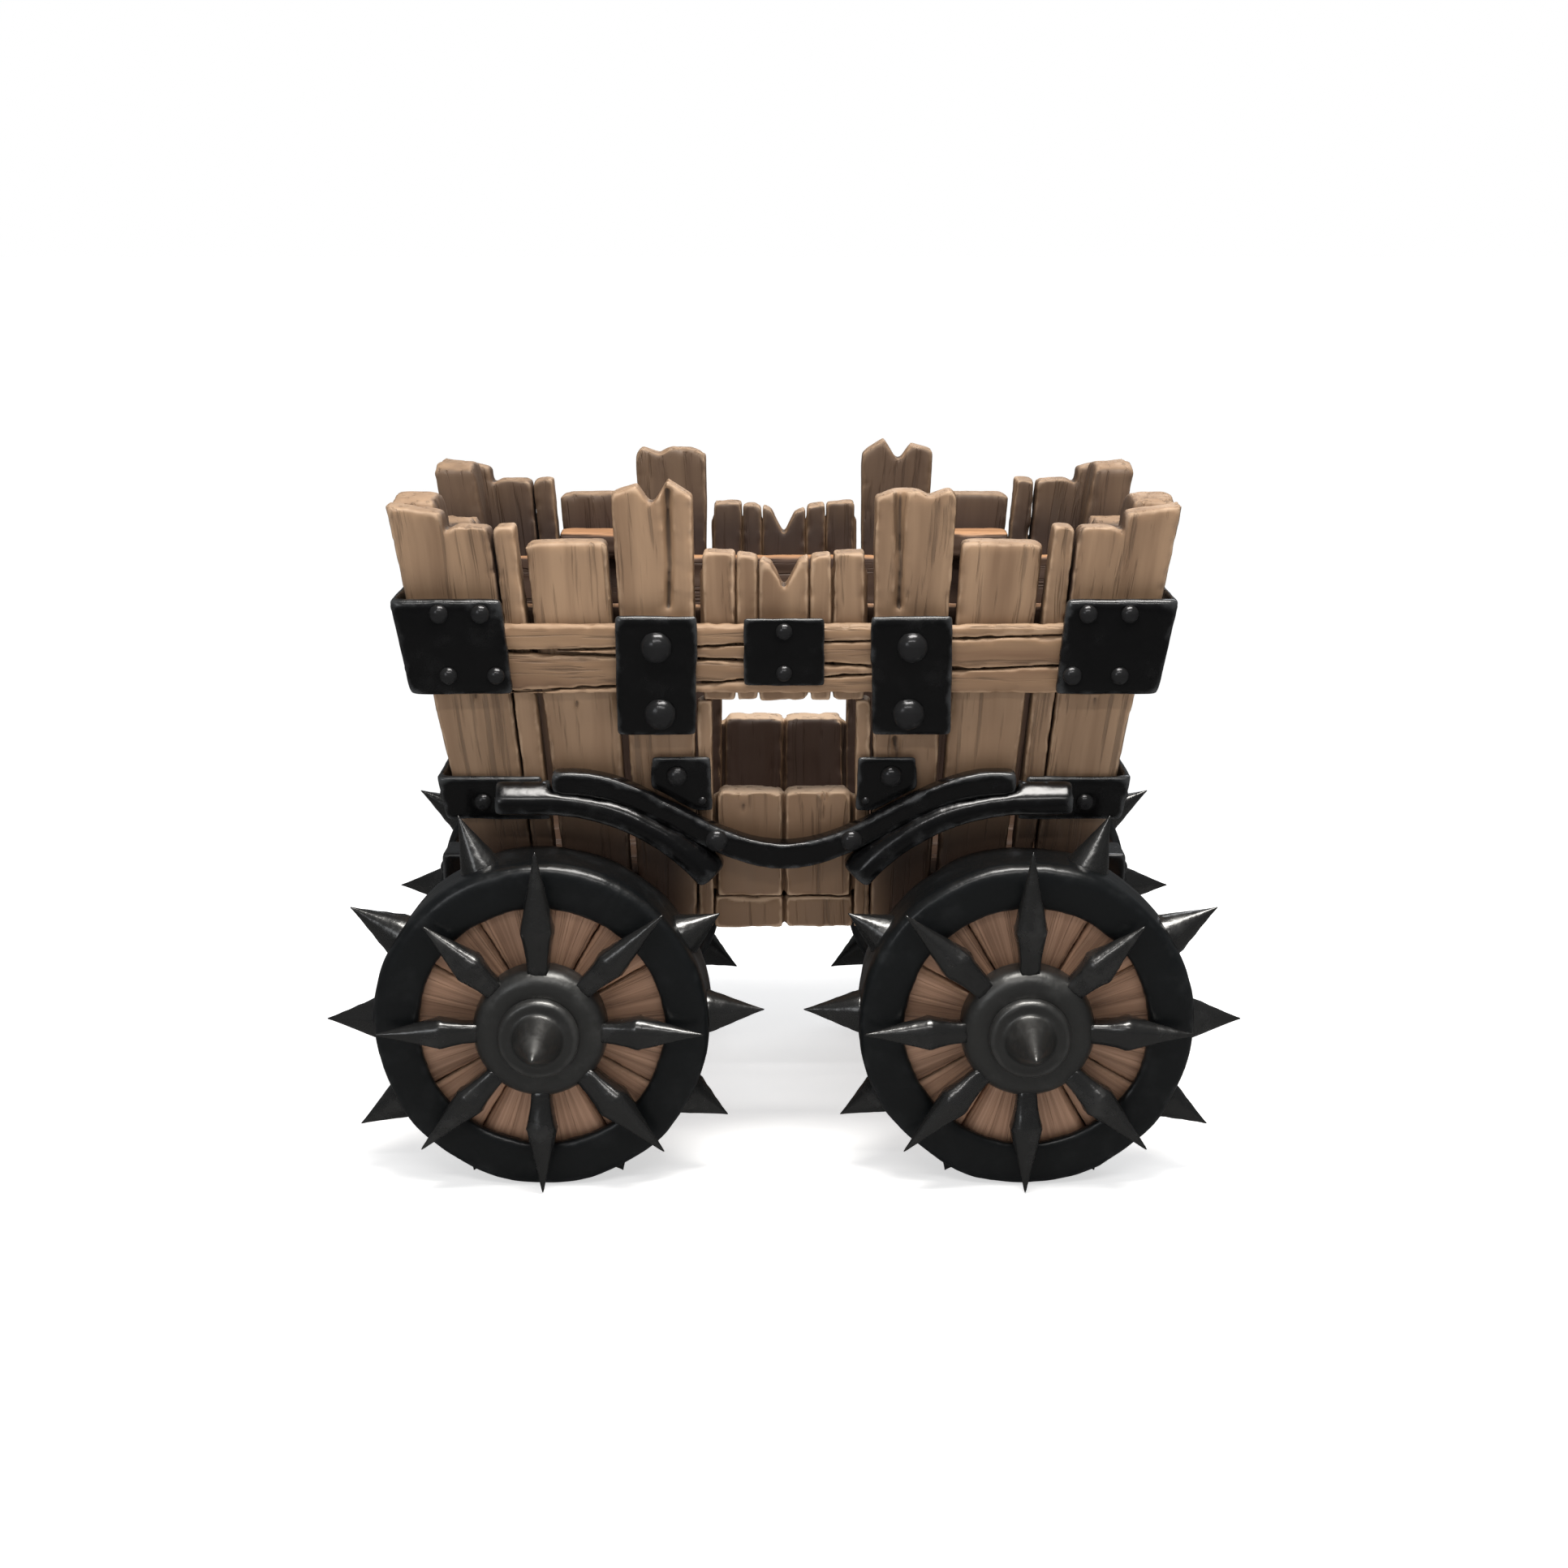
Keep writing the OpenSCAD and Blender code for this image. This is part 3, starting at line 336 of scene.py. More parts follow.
PLANK_WOOD = timber("plank_wood", (0.270, 0.170, 0.099, 1), (0.150, 0.087, 0.048, 1),
                    (0.520, 0.370, 0.250, 1))
RAIL_WOOD = timber("rail_wood", (0.225, 0.136, 0.074, 1), (0.130, 0.070, 0.037, 1),
                   (0.440, 0.300, 0.192, 1))
INNER_WOOD = timber("inner_wood", (0.500, 0.265, 0.130, 1), (0.260, 0.125, 0.062, 1),
                    (0.480, 0.260, 0.130, 1), low_dirt_and_shade=0.6, painted_shade_amount=0.92)
FRAME_WOOD = timber("frame_wood", (0.160, 0.100, 0.064, 1), (0.085, 0.050, 0.032, 1),
                    (0.300, 0.200, 0.130, 1), low_dirt_and_shade=0.3)
WHEEL_WOOD = timber("wheel_wood", (0.340, 0.195, 0.122, 1), (0.165, 0.088, 0.052, 1),
                    (0.400, 0.260, 0.172, 1), worn=0.4, low_dirt_and_shade=0.0, painted_shade_amount=0.0)
print("timbers", len(bpy.data.materials))

# %% [markdown]
# ## Iron and steel materials
# The plates are blackened iron: almost no colour, a gloss that changes from patch to patch, and
# fine hammer marks. Edges are rubbed to a lighter grey, and on the plates that grey is light
# enough to be a painted highlight as well. A thin clear coat stands for the oiled surface and
# gives the narrow highlights along rounded edges.

# %% Iron recipe
def iron(name, main, rubbed_edge_and_highlight, metallic, rough, coat=0.0, worn=0.5, hammer=0.25):
    material, tree, shader, place = new_material(name)
    edge = attribute(tree, "edge")
    wear = group(tree, WEAR, {"Vector": place, "Edge": edge, "Start": 0.30, "Break Up": 0.9})
    grime = group(tree, GRIME, {"Vector": place, "Size": 16.0, "Cover": 0.25})
    film = tuple(channel * 1.9 + 0.004 for channel in main[:3]) + (1,)
    filmed = mix(tree, times(tree, grime["Patches"], 0.5), main, film)
    rubbed = mix(tree, times(tree, wear["Worn"], worn), filmed, rubbed_edge_and_highlight)
    tree.links.new(rubbed, shader.inputs["Base Color"])
    shader.inputs["Metallic"].default_value = metallic
    shader.inputs["Coat Weight"].default_value = coat
    shader.inputs["Coat Roughness"].default_value = 0.20
    shader.inputs["Specular IOR Level"].default_value = 0.40
    duller = ramp(tree, grime["Patches"], start=rough, end=rough + 0.16)
    tree.links.new(duller, shader.inputs["Roughness"])
    bump = add(tree, "ShaderNodeBump", {"Height": noise(tree, place, 55.0, 2.0)["Fac"],
                                        "Strength": hammer, "Distance": 0.003})
    tree.links.new(bump.outputs[0], shader.inputs["Normal"])
    return material


# The plates' pale edge colour is wear and also a painted highlight.
PLATE_IRON = iron("plate_iron", (0.0014, 0.0014, 0.0016, 1), (0.070, 0.073, 0.076, 1), 0.0, 0.22,
                  coat=0.22)
TYRE_IRON = iron("tyre_iron", (0.0036, 0.0044, 0.0050, 1), (0.036, 0.038, 0.040, 1), 0.0, 0.32,
                 coat=0.14, hammer=0.35)
HUB_IRON = iron("hub_iron", (0.076, 0.076, 0.074, 1), (0.160, 0.160, 0.156, 1), 0.85, 0.36,
                hammer=0.30)
SPIKE_STEEL = iron("spike_steel", (0.082, 0.082, 0.081, 1), (0.330, 0.330, 0.325, 1), 0.9, 0.24,
                   hammer=0.35, worn=0.6)
RIVET_IRON = iron("rivet_iron", (0.034, 0.034, 0.035, 1), (0.200, 0.200, 0.200, 1), 0.7, 0.22)
AXLE_STEEL = iron("axle_steel", (0.180, 0.180, 0.178, 1), (0.350, 0.350, 0.345, 1), 1.0, 0.38)
BRONZE = iron("bronze", (0.300, 0.185, 0.080, 1), (0.450, 0.300, 0.150, 1), 1.0, 0.35)
print("materials", sorted(m.name for m in bpy.data.materials))

# %% [markdown]
# ## Geometry Nodes: a worn surface
# A plank from the engineering model has perfect flat faces and sharp edges. A voxel remesh
# covers it with small even faces. This tree then blurs the points, which rounds
# every edge, measures where the edges and dips are, and pushes the points in and out with
# noise: slow dents, long grooves along the grain and chips out of the edges.

# %% Worn surface tree
EDGE_GAIN = 420.0


def blurred(tree, place, iterations):
    made = add(tree, "GeometryNodeBlurAttribute", {"Iterations": iterations},
               data_type="FLOAT_VECTOR")
    tree.links.new(place, live(made.inputs))
    return live(made.outputs)


def stored(tree, name, kind="FLOAT"):
    return add(tree, "GeometryNodeInputNamedAttribute", {"Name": name}, data_type=kind).outputs[0]


def build_worn_surface():
    tree, given, result = new_tree(
        "worn_surface", "GeometryNodeTree",
        [("Geometry", "Geometry"), ("Soften", "Int"), ("Spread", "Int"), ("Squeeze", "Vector"),
         ("Grooves", "Float"), ("Dents", "Float"), ("Dent Scale", "Float"), ("Chips", "Float"),
         ("Seed", "Float"), ("Material", "Material")],
        [("Geometry", "Geometry")])
    values = given.outputs
    seed = values["Seed"]
    here = add(tree, "GeometryNodeInputPosition").outputs[0]
    normal = add(tree, "GeometryNodeInputNormal").outputs[0]
    softened = blurred(tree, here, values["Soften"])
    rounded = add(tree, "GeometryNodeSetPosition",
                  {"Geometry": values["Geometry"], "Position": softened}).outputs[0]
    stands_out = vector_maths(tree, "SUBTRACT", here, blurred(tree, here, values["Spread"]))
    outwards = add(tree, "ShaderNodeVectorMath", {0: stands_out, 1: normal},
                   operation="DOT_PRODUCT").outputs["Value"]
    marked = add(tree, "GeometryNodeStoreNamedAttribute",
                 {"Geometry": rounded, "Name": "edge", "Value": times(tree, outwards, EDGE_GAIN)},
                 data_type="FLOAT", domain="POINT").outputs[0]
    squeezed = vector_maths(tree, "MULTIPLY", here, values["Squeeze"])
    groove = ramp(tree, noise(tree, squeezed, 1.0, 2.0, seed=seed)["Fac"], 0.54, 0.70,
                  curve="SMOOTHSTEP")
    lumps = noise(tree, here, values["Dent Scale"], 1.0, seed=seed)["Fac"]
    dent = times(tree, maths(tree, "SUBTRACT", lumps, 0.5), values["Dents"])
    flake = ramp(tree, noise(tree, here, 34.0, 1.0, seed=seed)["Fac"], 0.48, 0.72)
    only_edges = maths(tree, "MAXIMUM", stored(tree, "edge"), 0.0)
    chip = times(tree, times(tree, flake, only_edges), values["Chips"])
    cut = maths(tree, "MULTIPLY_ADD", groove, values["Grooves"], chip)
    push = add(tree, "ShaderNodeVectorMath",
               {0: normal, "Scale": maths(tree, "SUBTRACT", dent, cut)},
               operation="SCALE").outputs[0]
    pushed = add(tree, "GeometryNodeSetPosition", {"Geometry": marked, "Offset": push})
    painted = add(tree, "GeometryNodeSetMaterial",
                  {"Geometry": pushed.outputs[0], "Material": values["Material"]})
    return send(tree, result, {"Geometry": painted.outputs[0]})


WORN_SURFACE = build_worn_surface()
print("tree", WORN_SURFACE.name, len(WORN_SURFACE.nodes), "nodes")

# %% [markdown]
# ## From one node to its separate boards
# A node of the engineering model may hold several solids, such as four planks. Each is taken
# out by walking over its connected points. The frame's own mesh is loose triangles, so the
# doubles on the copy are merged first.

# %% Separate solids
def solids_of(node):
    whole = bmesh.new()
    whole.from_mesh(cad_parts[node].data)
    bmesh.ops.remove_doubles(whole, verts=whole.verts, dist=1e-5)
    whole.verts.index_update()
    seen = set()
    found = []
    for start in whole.verts:
        if start.index in seen:
            continue
        seen.add(start.index)
        waiting = [start]
        members = []
        while waiting:
            point = waiting.pop()
            members.append(point)
            for joined_edge in point.link_edges:
                other = joined_edge.other_vert(point)
                if other.index not in seen:
                    seen.add(other.index)
                    waiting.append(other)
        place = {point.index: i for i, point in enumerate(members)}
        faces = {face for point in members for face in point.link_faces}
        ordered = sorted(faces, key=lambda face: face.index)
        mesh = bpy.data.meshes.new(node)
        mesh.from_pydata([point.co[:] for point in members], [],
                         [[place[corner.index] for corner in face.verts] for face in ordered])
        found.append(mesh)
    whole.free()
    return found


def middle(mesh):
    points = points_of(mesh)
    return (points.min(axis=0) + points.max(axis=0)) / 2


print("side planks:", len(solids_of("side_planks")), "boards")

# %% [markdown]
# ## Joining boards again, with their own numbers
# Boards are worn one by one, so that a narrow gap between two of them stays open. Then they
# are joined into one piece. Each point keeps a board number and grain coordinates, and how
# much painted shade, dirt with painted shade, and painted top light its place on the cart gets.
# The walls spread towards the top, and so do their planks, so the grain does too.

# %% Join with attributes
def grain_frame(points, along):
    x, y, z = points.T
    if along == "x":
        return np.stack((y, z, x), axis=1)
    if along == "y":
        return np.stack((x, z, y), axis=1)
    spread = 1.0 - 0.2 * (TOP_Z - z)
    return np.stack((x / spread, y / spread, z), axis=1)


def smooth_step(values, low, high):
    t = np.clip((values - low) / (high - low), 0.0, 1.0)
    return t * t * (3 - 2 * t)


END_ZONE = (0.40, 0.50)
END_WALL_OUT = 0.22
INDOORS = ("inner_battens", "shelf_blocks", "floor_planks")


def shade_of(points, normals):
    """Painted shade on the walls' inner faces, deeper down in the tub and low down behind the
    wheels.
    """
    x, y, z = points.T
    side_wall = np.abs(y) / side_face(z) > np.abs(x) / (side_face(z) + END_WALL_OUT)
    over_x = -normals[:, 0] * np.sign(x)
    over_y = -normals[:, 1] * np.sign(y)
    corner = smooth_step(np.abs(x), *END_ZONE)
    inward = np.maximum(np.where(side_wall, over_y, over_x),
                        corner * np.where(side_wall, over_x, over_y))
    inside = smooth_step(inward, 0.2, 0.8)
    depth = smooth_step(-z, -1.10, -0.99)
    within = inside * (0.66 + 0.34 * depth)
    low = smooth_step(-z, -0.66, -0.52) * smooth_step(np.abs(x), 0.13, 0.20)
    return 1.0 - (1.0 - within) * (1.0 - 0.9 * low)


def dirt_and_shade_of(points):
    """Darker towards the ground, dirt mixed with painted shade, and less of it near the corners."""
    x, y, z = points.T
    return np.clip((0.92 - z) / 0.37, 0.0, 1.0) * (1.0 - 0.55 * smooth_step(np.abs(x), *END_ZONE))


def painted_top_light_of(points, normals):
    """Painted light on faces that look up, the low ones most."""
    lower = smooth_step(-points[:, 2], -0.95, -0.70)
    return smooth_step(normals[:, 2], 0.45, 0.85) * (0.25 + 0.75 * lower)


def indoor_shade(points, normals):
    """Inside the tub, only faces that look up out of it are lit."""
    high_up = smooth_step(points[:, 2], 0.60, 0.90)
    return 1.0 - smooth_step(normals[:, 2], 0.35, 0.85) * high_up


def joined(name, meshes, numbers, along, material):
    points, corners, totals, edges, boards, grains, shades = [], [], [], [], [], [], []
    dirts_and_shades, painted_top_lights = [], []
    shade = indoor_shade if name.startswith(INDOORS) else shade_of
    for mesh, number in zip(meshes, numbers):
        count = len(mesh.vertices)
        at = values_of(mesh.vertices, "co", 3)
        normals = values_of(mesh.vertices, "normal", 3)
        loops = values_of(mesh.loops, "vertex_index", kind=np.int32)
        edge = np.zeros(count, dtype=np.float32)
        if "edge" in mesh.attributes:
            mesh.attributes["edge"].data.foreach_get("value", edge)
        corners.append(loops + sum(len(p) for p in points))
        points.append(at)
        totals.append(values_of(mesh.polygons, "loop_total", kind=np.int32))
        edges.append(edge)
        shades.append(shade(at, normals))
        dirts_and_shades.append(dirt_and_shade_of(at))
        painted_top_lights.append(painted_top_light_of(at, normals))
        boards.append(np.full(count, number, dtype=np.float32))
        grains.append(along(at) if callable(along) else grain_frame(at, along))
        bpy.data.meshes.remove(mesh)
    points = np.concatenate(points)
    corners = np.concatenate(corners)
    totals = np.concatenate(totals)
    made = bpy.data.meshes.new(name)
    made.vertices.add(len(points))
    made.vertices.foreach_set("co", points.ravel())
    made.loops.add(len(corners))
    made.loops.foreach_set("vertex_index", corners)
    made.polygons.add(len(totals))
    made.polygons.foreach_set("loop_start", np.concatenate(([0], np.cumsum(totals)[:-1])))
    made.update(calc_edges=True)
    for label, values in (("edge", edges), ("board", boards), ("shade", shades),
                          ("ground_dirt_and_shade", dirts_and_shades), ("top", painted_top_lights)):
        values = np.concatenate(values).astype(np.float32)
        made.attributes.new(label, "FLOAT", "POINT").data.foreach_set("value", values)
    grain = made.attributes.new("grain", "FLOAT_VECTOR", "POINT")
    grain.data.foreach_set("vector", np.concatenate(grains).astype(np.float32).ravel())
    made.shade_smooth()
    made.validate()
    made.materials.append(material)
    return made


WIDE_BLUR = 9
WIDE_BLUR_VOXEL = 0.0038


def worn(mesh, voxel, soften, values, material, seed):
    piece = new_object("worn", mesh)
    remesh = piece.modifiers.new("even faces", "REMESH")
    remesh.mode = "VOXEL"
    remesh.voxel_size = voxel
    spread = max(2, round(WIDE_BLUR * (WIDE_BLUR_VOXEL / voxel) ** 2))
    given = {"Soften": soften, "Spread": spread, "Seed": seed, "Material": material}
    given.update(values)
    with_tree(piece, WORN_SURFACE, given)
    return plain_mesh(piece)


def in_order(meshes):
    return sorted(meshes, key=lambda mesh: tuple(round(float(v), 4) for v in middle(mesh)))


def put_in_place(node, ending, mesh, body):
    piece = new_object(node + ending, mesh)
    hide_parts(node)
    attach(piece, body)
    print(piece.name, len(mesh.polygons), "faces")


print("join ready")

# %% [markdown]
# ## Cutting cracks
# Some boards are split along the grain. A crack is cut before the remesh, by taking away a thin
# wedge that follows the crack's bends: wide at the surface and closing towards its bottom.
# Each crack is a short list of places along the wall, with its width there.

# %% Crack wedges
def wall_point(side, x, z, out):
    return Vector((x, side * (side_face(z) + out), z))


CRACK_OUT = 0.03
CRACK_WIDEN = 1.7
CRACK_DEPTH = 0.024


def crack_wedge(place, path, depth):
    made = bmesh.new()
    rings = []
    for i, (u, v, width) in enumerate(path):
        before = Vector(path[max(i - 1, 0)][:2])
        after = Vector(path[min(i + 1, len(path) - 1)][:2])
        run = (after - before).normalized()
        across = Vector((-run.y, run.x)) * width / 2
        over = 1.0 + CRACK_OUT / depth
        rings.append([made.verts.new(place(*corner)) for corner in (
            (u - across.x * over, v - across.y * over, CRACK_OUT),
            (u + across.x * over, v + across.y * over, CRACK_OUT),
            (u, v, -depth))])
    for low, high in zip(rings, rings[1:]):
        for a, b in ((0, 1), (1, 2), (2, 0)):
            made.faces.new((low[a], low[b], high[b], high[a]))
    made.faces.new(rings[0][::-1])
    made.faces.new(rings[-1])
    return closed_mesh(made, "crack")


def touches(a, b):
    lows = [points_of(mesh).min(axis=0) for mesh in (a, b)]
    highs = [points_of(mesh).max(axis=0) for mesh in (a, b)]
    return bool(np.all(lows[0] < highs[1]) and np.all(lows[1] < highs[0]))


def cracked(mesh, wedges):
    mine = [wedge for wedge in wedges if touches(mesh, wedge)]
    if not mine:
        return mesh
    piece = new_object("board", mesh)
    cutters = [new_object("wedge", wedge) for wedge in mine]
    for cutter in cutters:
        cut = piece.modifiers.new("crack", "BOOLEAN")
        cut.operation = "DIFFERENCE"
        cut.solver = "EXACT"
        cut.object = cutter
    result = plain_mesh(piece)
    for cutter in cutters:
        bpy.data.objects.remove(cutter)
    return result


print("crack tools ready")

# %% [markdown]
# ## Splitting a board lengthwise
# The rails have broken into several long strips. A tilted plane cuts the board in two, and the
# cut faces are set a little apart, so a dark line with rounded lips appears between the strips.

# %% Strips
def half_of(mesh, point, normal):
    half = bmesh.new()
    half.from_mesh(mesh)
    cut = bmesh.ops.bisect_plane(half, geom=half.verts[:] + half.edges[:] + half.faces[:],
                                 plane_co=point, plane_no=normal, clear_outer=True)
    rim = [e for e in cut["geom_cut"] if isinstance(e, bmesh.types.BMEdge)]
    bmesh.ops.triangle_fill(half, edges=rim, use_beauty=True)
    return closed_mesh(half, "half")


def strips(mesh, cuts, gap):
    pieces = []
    rest = mesh
    for point, normal in cuts:
        shift = normal.normalized() * gap / 2
        pieces.append(half_of(rest, point - shift, normal))
        rest = half_of(rest, point + shift, -normal)
    pieces.append(rest)
    return [p for p in pieces if len(p.polygons) > 3]


print("strip tools ready")

# %% [markdown]
# ## Timber pieces
# Every timber node becomes one worn piece that replaces it. The table below gives the
# material, the direction of the grain, the size of the voxels, how soft the edges are and how
# the surface is worn. Outer planks get the finest voxels, because they are seen closest.

# %% Timber table
OUTER = {"Squeeze": (24.0, 24.0, 1.6), "Grooves": 0.0035, "Dents": 0.0045, "Dent Scale": 9.0,
         "Chips": 0.0045}
LENGTHWISE = {"Squeeze": (1.4, 30.0, 30.0), "Grooves": 0.0030, "Dents": 0.0050,
              "Dent Scale": 12.0, "Chips": 0.0050}
CROSSWISE = {"Squeeze": (30.0, 1.4, 30.0), "Grooves": 0.0030, "Dents": 0.0050,
             "Dent Scale": 12.0, "Chips": 0.0050}
TIMBERS = [
    ("right_corner_planks", PLANK_WOOD, "z", 0.0045, 3, OUTER),
    ("left_corner_planks", PLANK_WOOD, "z", 0.0045, 3, OUTER),
    ("side_planks", PLANK_WOOD, "z", 0.0050, 4, OUTER),
    ("right_posts", PLANK_WOOD, "z", 0.0043, 4, OUTER),
    ("left_posts", PLANK_WOOD, "z", 0.0043, 4, OUTER),
    ("centre_boards", PLANK_WOOD, "z", 0.0042, 2, OUTER),
    ("hatch_surround", PLANK_WOOD, "z", 0.0043, 2, OUTER),
    ("front_end_planks", PLANK_WOOD, "z", 0.0064, 4, OUTER),
    ("rear_end_planks", PLANK_WOOD, "z", 0.0064, 4, OUTER),
    ("side_rails", RAIL_WOOD, "x", 0.0042, 1, LENGTHWISE),
    ("end_rails", RAIL_WOOD, "y", 0.0046, 1, CROSSWISE),
    ("inner_battens", INNER_WOOD, "x", 0.0070, 3, LENGTHWISE),
    ("shelf_blocks", INNER_WOOD, "x", 0.0050, 6, LENGTHWISE),
    ("floor_planks", INNER_WOOD, "x", 0.0100, 2, LENGTHWISE),
    ("draw_beam", FRAME_WOOD, "x", 0.0060, 4, LENGTHWISE),
    ("side_sills", FRAME_WOOD, "x", 0.0060, 4, LENGTHWISE),
    ("bolsters", FRAME_WOOD, "y", 0.0060, 4, CROSSWISE),
    ("axle_blocks", FRAME_WOOD, "z", 0.0060, 4, OUTER),
]
CRACK_PATHS = [
    ((-0.191, 1.165, 0.012), (-0.189, 1.100, 0.010), (-0.187, 1.035, 0.009), (-0.191, 0.960, 0.009)),
    ((0.190, 1.160, 0.016), (0.188, 1.100, 0.011), (0.191, 1.035, 0.009), (0.189, 0.960, 0.009)),
    ((-0.265, 0.745, 0.009), (-0.2645, 0.680, 0.006)),
    ((-0.346, 0.810, 0.006), (-0.341, 0.760, 0.005), (-0.333, 0.700, 0.002)),
    ((-0.514, 0.830, 0.005), (-0.506, 0.690, 0.003)),
    ((-0.550, 0.815, 0.005), (-0.547, 0.735, 0.001)),
    ((0.185, 0.745, 0.009), (0.190, 0.680, 0.004)),
    ((0.517, 0.815, 0.006), (0.514, 0.715, 0.002)),
    ((0.305, 0.700, 0.002), (0.309, 0.765, 0.006)),
    ((-0.066, 0.660, 0.008), (-0.072, 0.600, 0.003)),
    ((0.069, 0.660, 0.008), (0.063, 0.590, 0.003)),
    ((-0.110, 0.450, 0.004), (-0.060, 0.4555, 0.005), (-0.009, 0.452, 0.004)),
]
CRACKS = []
for side in (-1, 1):
    for path in CRACK_PATHS:
        turned = [(-side * x, z, width * CRACK_WIDEN) for x, z, width in path]
        place = (lambda u, v, out, side=side: wall_point(side, u, v, out))
        CRACKS.append(crack_wedge(place, turned, CRACK_DEPTH))
print(len(TIMBERS), "timber nodes")

# %% Wear the timber
RAIL_SPLITS = ((-0.034, 0.05), (-0.006, -0.04), (0.026, 0.03))
RAIL_GAP = 0.0030
HALF_WALL = 0.030
HALF_TONGUE = 0.012
SINGLE_SILL = 0.08


def rail_cuts(mesh):
    centre = Vector(middle(mesh))
    flip = 1 if centre.x > 0 else -1
    return [(centre + Vector((0, 0, rise)), Vector((tilt * flip, 0, 1)))
            for rise, tilt in RAIL_SPLITS]


def with_tongues(mesh, spans, low_end, high_end):
    """Adds thin tongues at half the wall's thickness, so no light shows between boards."""
    low, high = points_of(mesh).min(axis=0), points_of(mesh).max(axis=0)
    made = bmesh.new()
    made.from_mesh(mesh)
    for x0, x1 in spans(low[0], high[0]):
        corners = []
        for z in (low[2] + low_end, high[2] - high_end):
            y_mid = (side_face(z) - HALF_WALL) * (1 if low[1] > 0 else -1)
            for x, y in ((x0, -1), (x1, -1), (x1, 1), (x0, 1)):
                corners.append(made.verts.new((x, y_mid + HALF_TONGUE * y, z)))
        for face in ((0, 1, 2, 3), (4, 5, 6, 7), (0, 1, 5, 4), (1, 2, 6, 5), (2, 3, 7, 6),
                     (3, 0, 4, 7)):
            made.faces.new([corners[k] for k in face])
    return closed_mesh(made, "tongued board")


def sill_spans(low, high):
    if high - low < SINGLE_SILL:
        return []
    side = 1 if low + high > 0 else -1
    return [(-0.006 * side, 0.03 * side), (0.09 * side, 0.127 * side)]


def board_spans(low, high):
    return [(low - 0.005, low + 0.012), (high - 0.012, high + 0.005)]


def timber_piece(node, material, along, voxel, soften, values):
    boards = in_order(solids_of(node))
    if material is RAIL_WOOD:
        boards = [strip for board in boards for strip in strips(board, rail_cuts(board), RAIL_GAP)]
    boards = [cracked(board, CRACKS) for board in boards]
    if node == "hatch_surround":
        boards = [with_tongues(board, sill_spans, 0.006, 0.010) for board in boards]
    if node == "centre_boards":
        boards = [with_tongues(board, board_spans, 0.02, 0.035) for board in boards]
    meshes = [worn(board, voxel, soften, values, material, 3.7 * i + len(node))
              for i, board in enumerate(boards)]
    numbers = [((i * 7 + len(node)) % 16) / 15 for i in range(len(boards))]
    mesh = joined(node + "_worn", meshes, numbers, along, material)
    put_in_place(node, "_worn", mesh, "cart")


for row in TIMBERS:
    timber_piece(*row)

# %% [markdown]
# ## Forged iron on the tub
# Brackets, plates, straps and fenders were hammered from thick bar, so they look like pillows:
# broad faces, fat round edges and shallow dents. The same worn surface makes them, with more
# softening, no grain grooves and slow dents.

# %% Iron table
PILLOW = {"Squeeze": (6.0, 6.0, 6.0), "Grooves": 0.0008, "Dents": 0.0035, "Dent Scale": 13.0,
          "Chips": 0.0008}
IRONWORK = [
    ("upper_corner_brackets", 0.0046, 14),
    ("lower_corner_brackets", 0.0036, 12),
    ("post_plates", 0.0036, 20),
    ("centre_plates", 0.0034, 16),
    ("hatch_plates", 0.0034, 14),
    ("wave_straps", 0.0042, 9),
    ("fenders", 0.0046, 12),
    ("beam_caps", 0.0036, 6),
]


def iron_piece(node, voxel, soften, values, material, body, reshape=None):
    parts = solids_of(node)
    if reshape:
        parts = [reshape(part) for part in parts]
    parts = in_order(parts)
    meshes = [worn(part, voxel, soften, values, material, 2.3 * i)
              for i, part in enumerate(parts)]
    numbers = [i / max(len(parts) - 1, 1) for i in range(len(parts))]
    mesh = joined(node + "_forged", meshes, numbers, "z", material)
    put_in_place(node, "_forged", mesh, body)


for node, voxel, soften in IRONWORK:
    iron_piece(node, voxel, soften, PILLOW, PLATE_IRON, "cart")

# %% [markdown]
# ## Geometry Nodes: copies set along an axis
# Rivets and spikes repeat, but each points its own way and has its own length.
# This tree sets a copy of a small template on each point. The point carries the direction that
# it points in, a second direction that stops it from rolling, and how far it reaches. Seeded
# noise makes each copy a little thicker or thinner and turns it slightly.

# %% Copies tree
SEED_STEP = 11.0


def either_way(tree, seed):
    """A random number from -1 to 1 for each copy."""
    made = add(tree, "FunctionNodeRandomValue", {"Seed": seed}, data_type="FLOAT")
    live(made.inputs, "Min").default_value = -1.0
    live(made.inputs, "Max").default_value = 1.0
    return live(made.outputs)


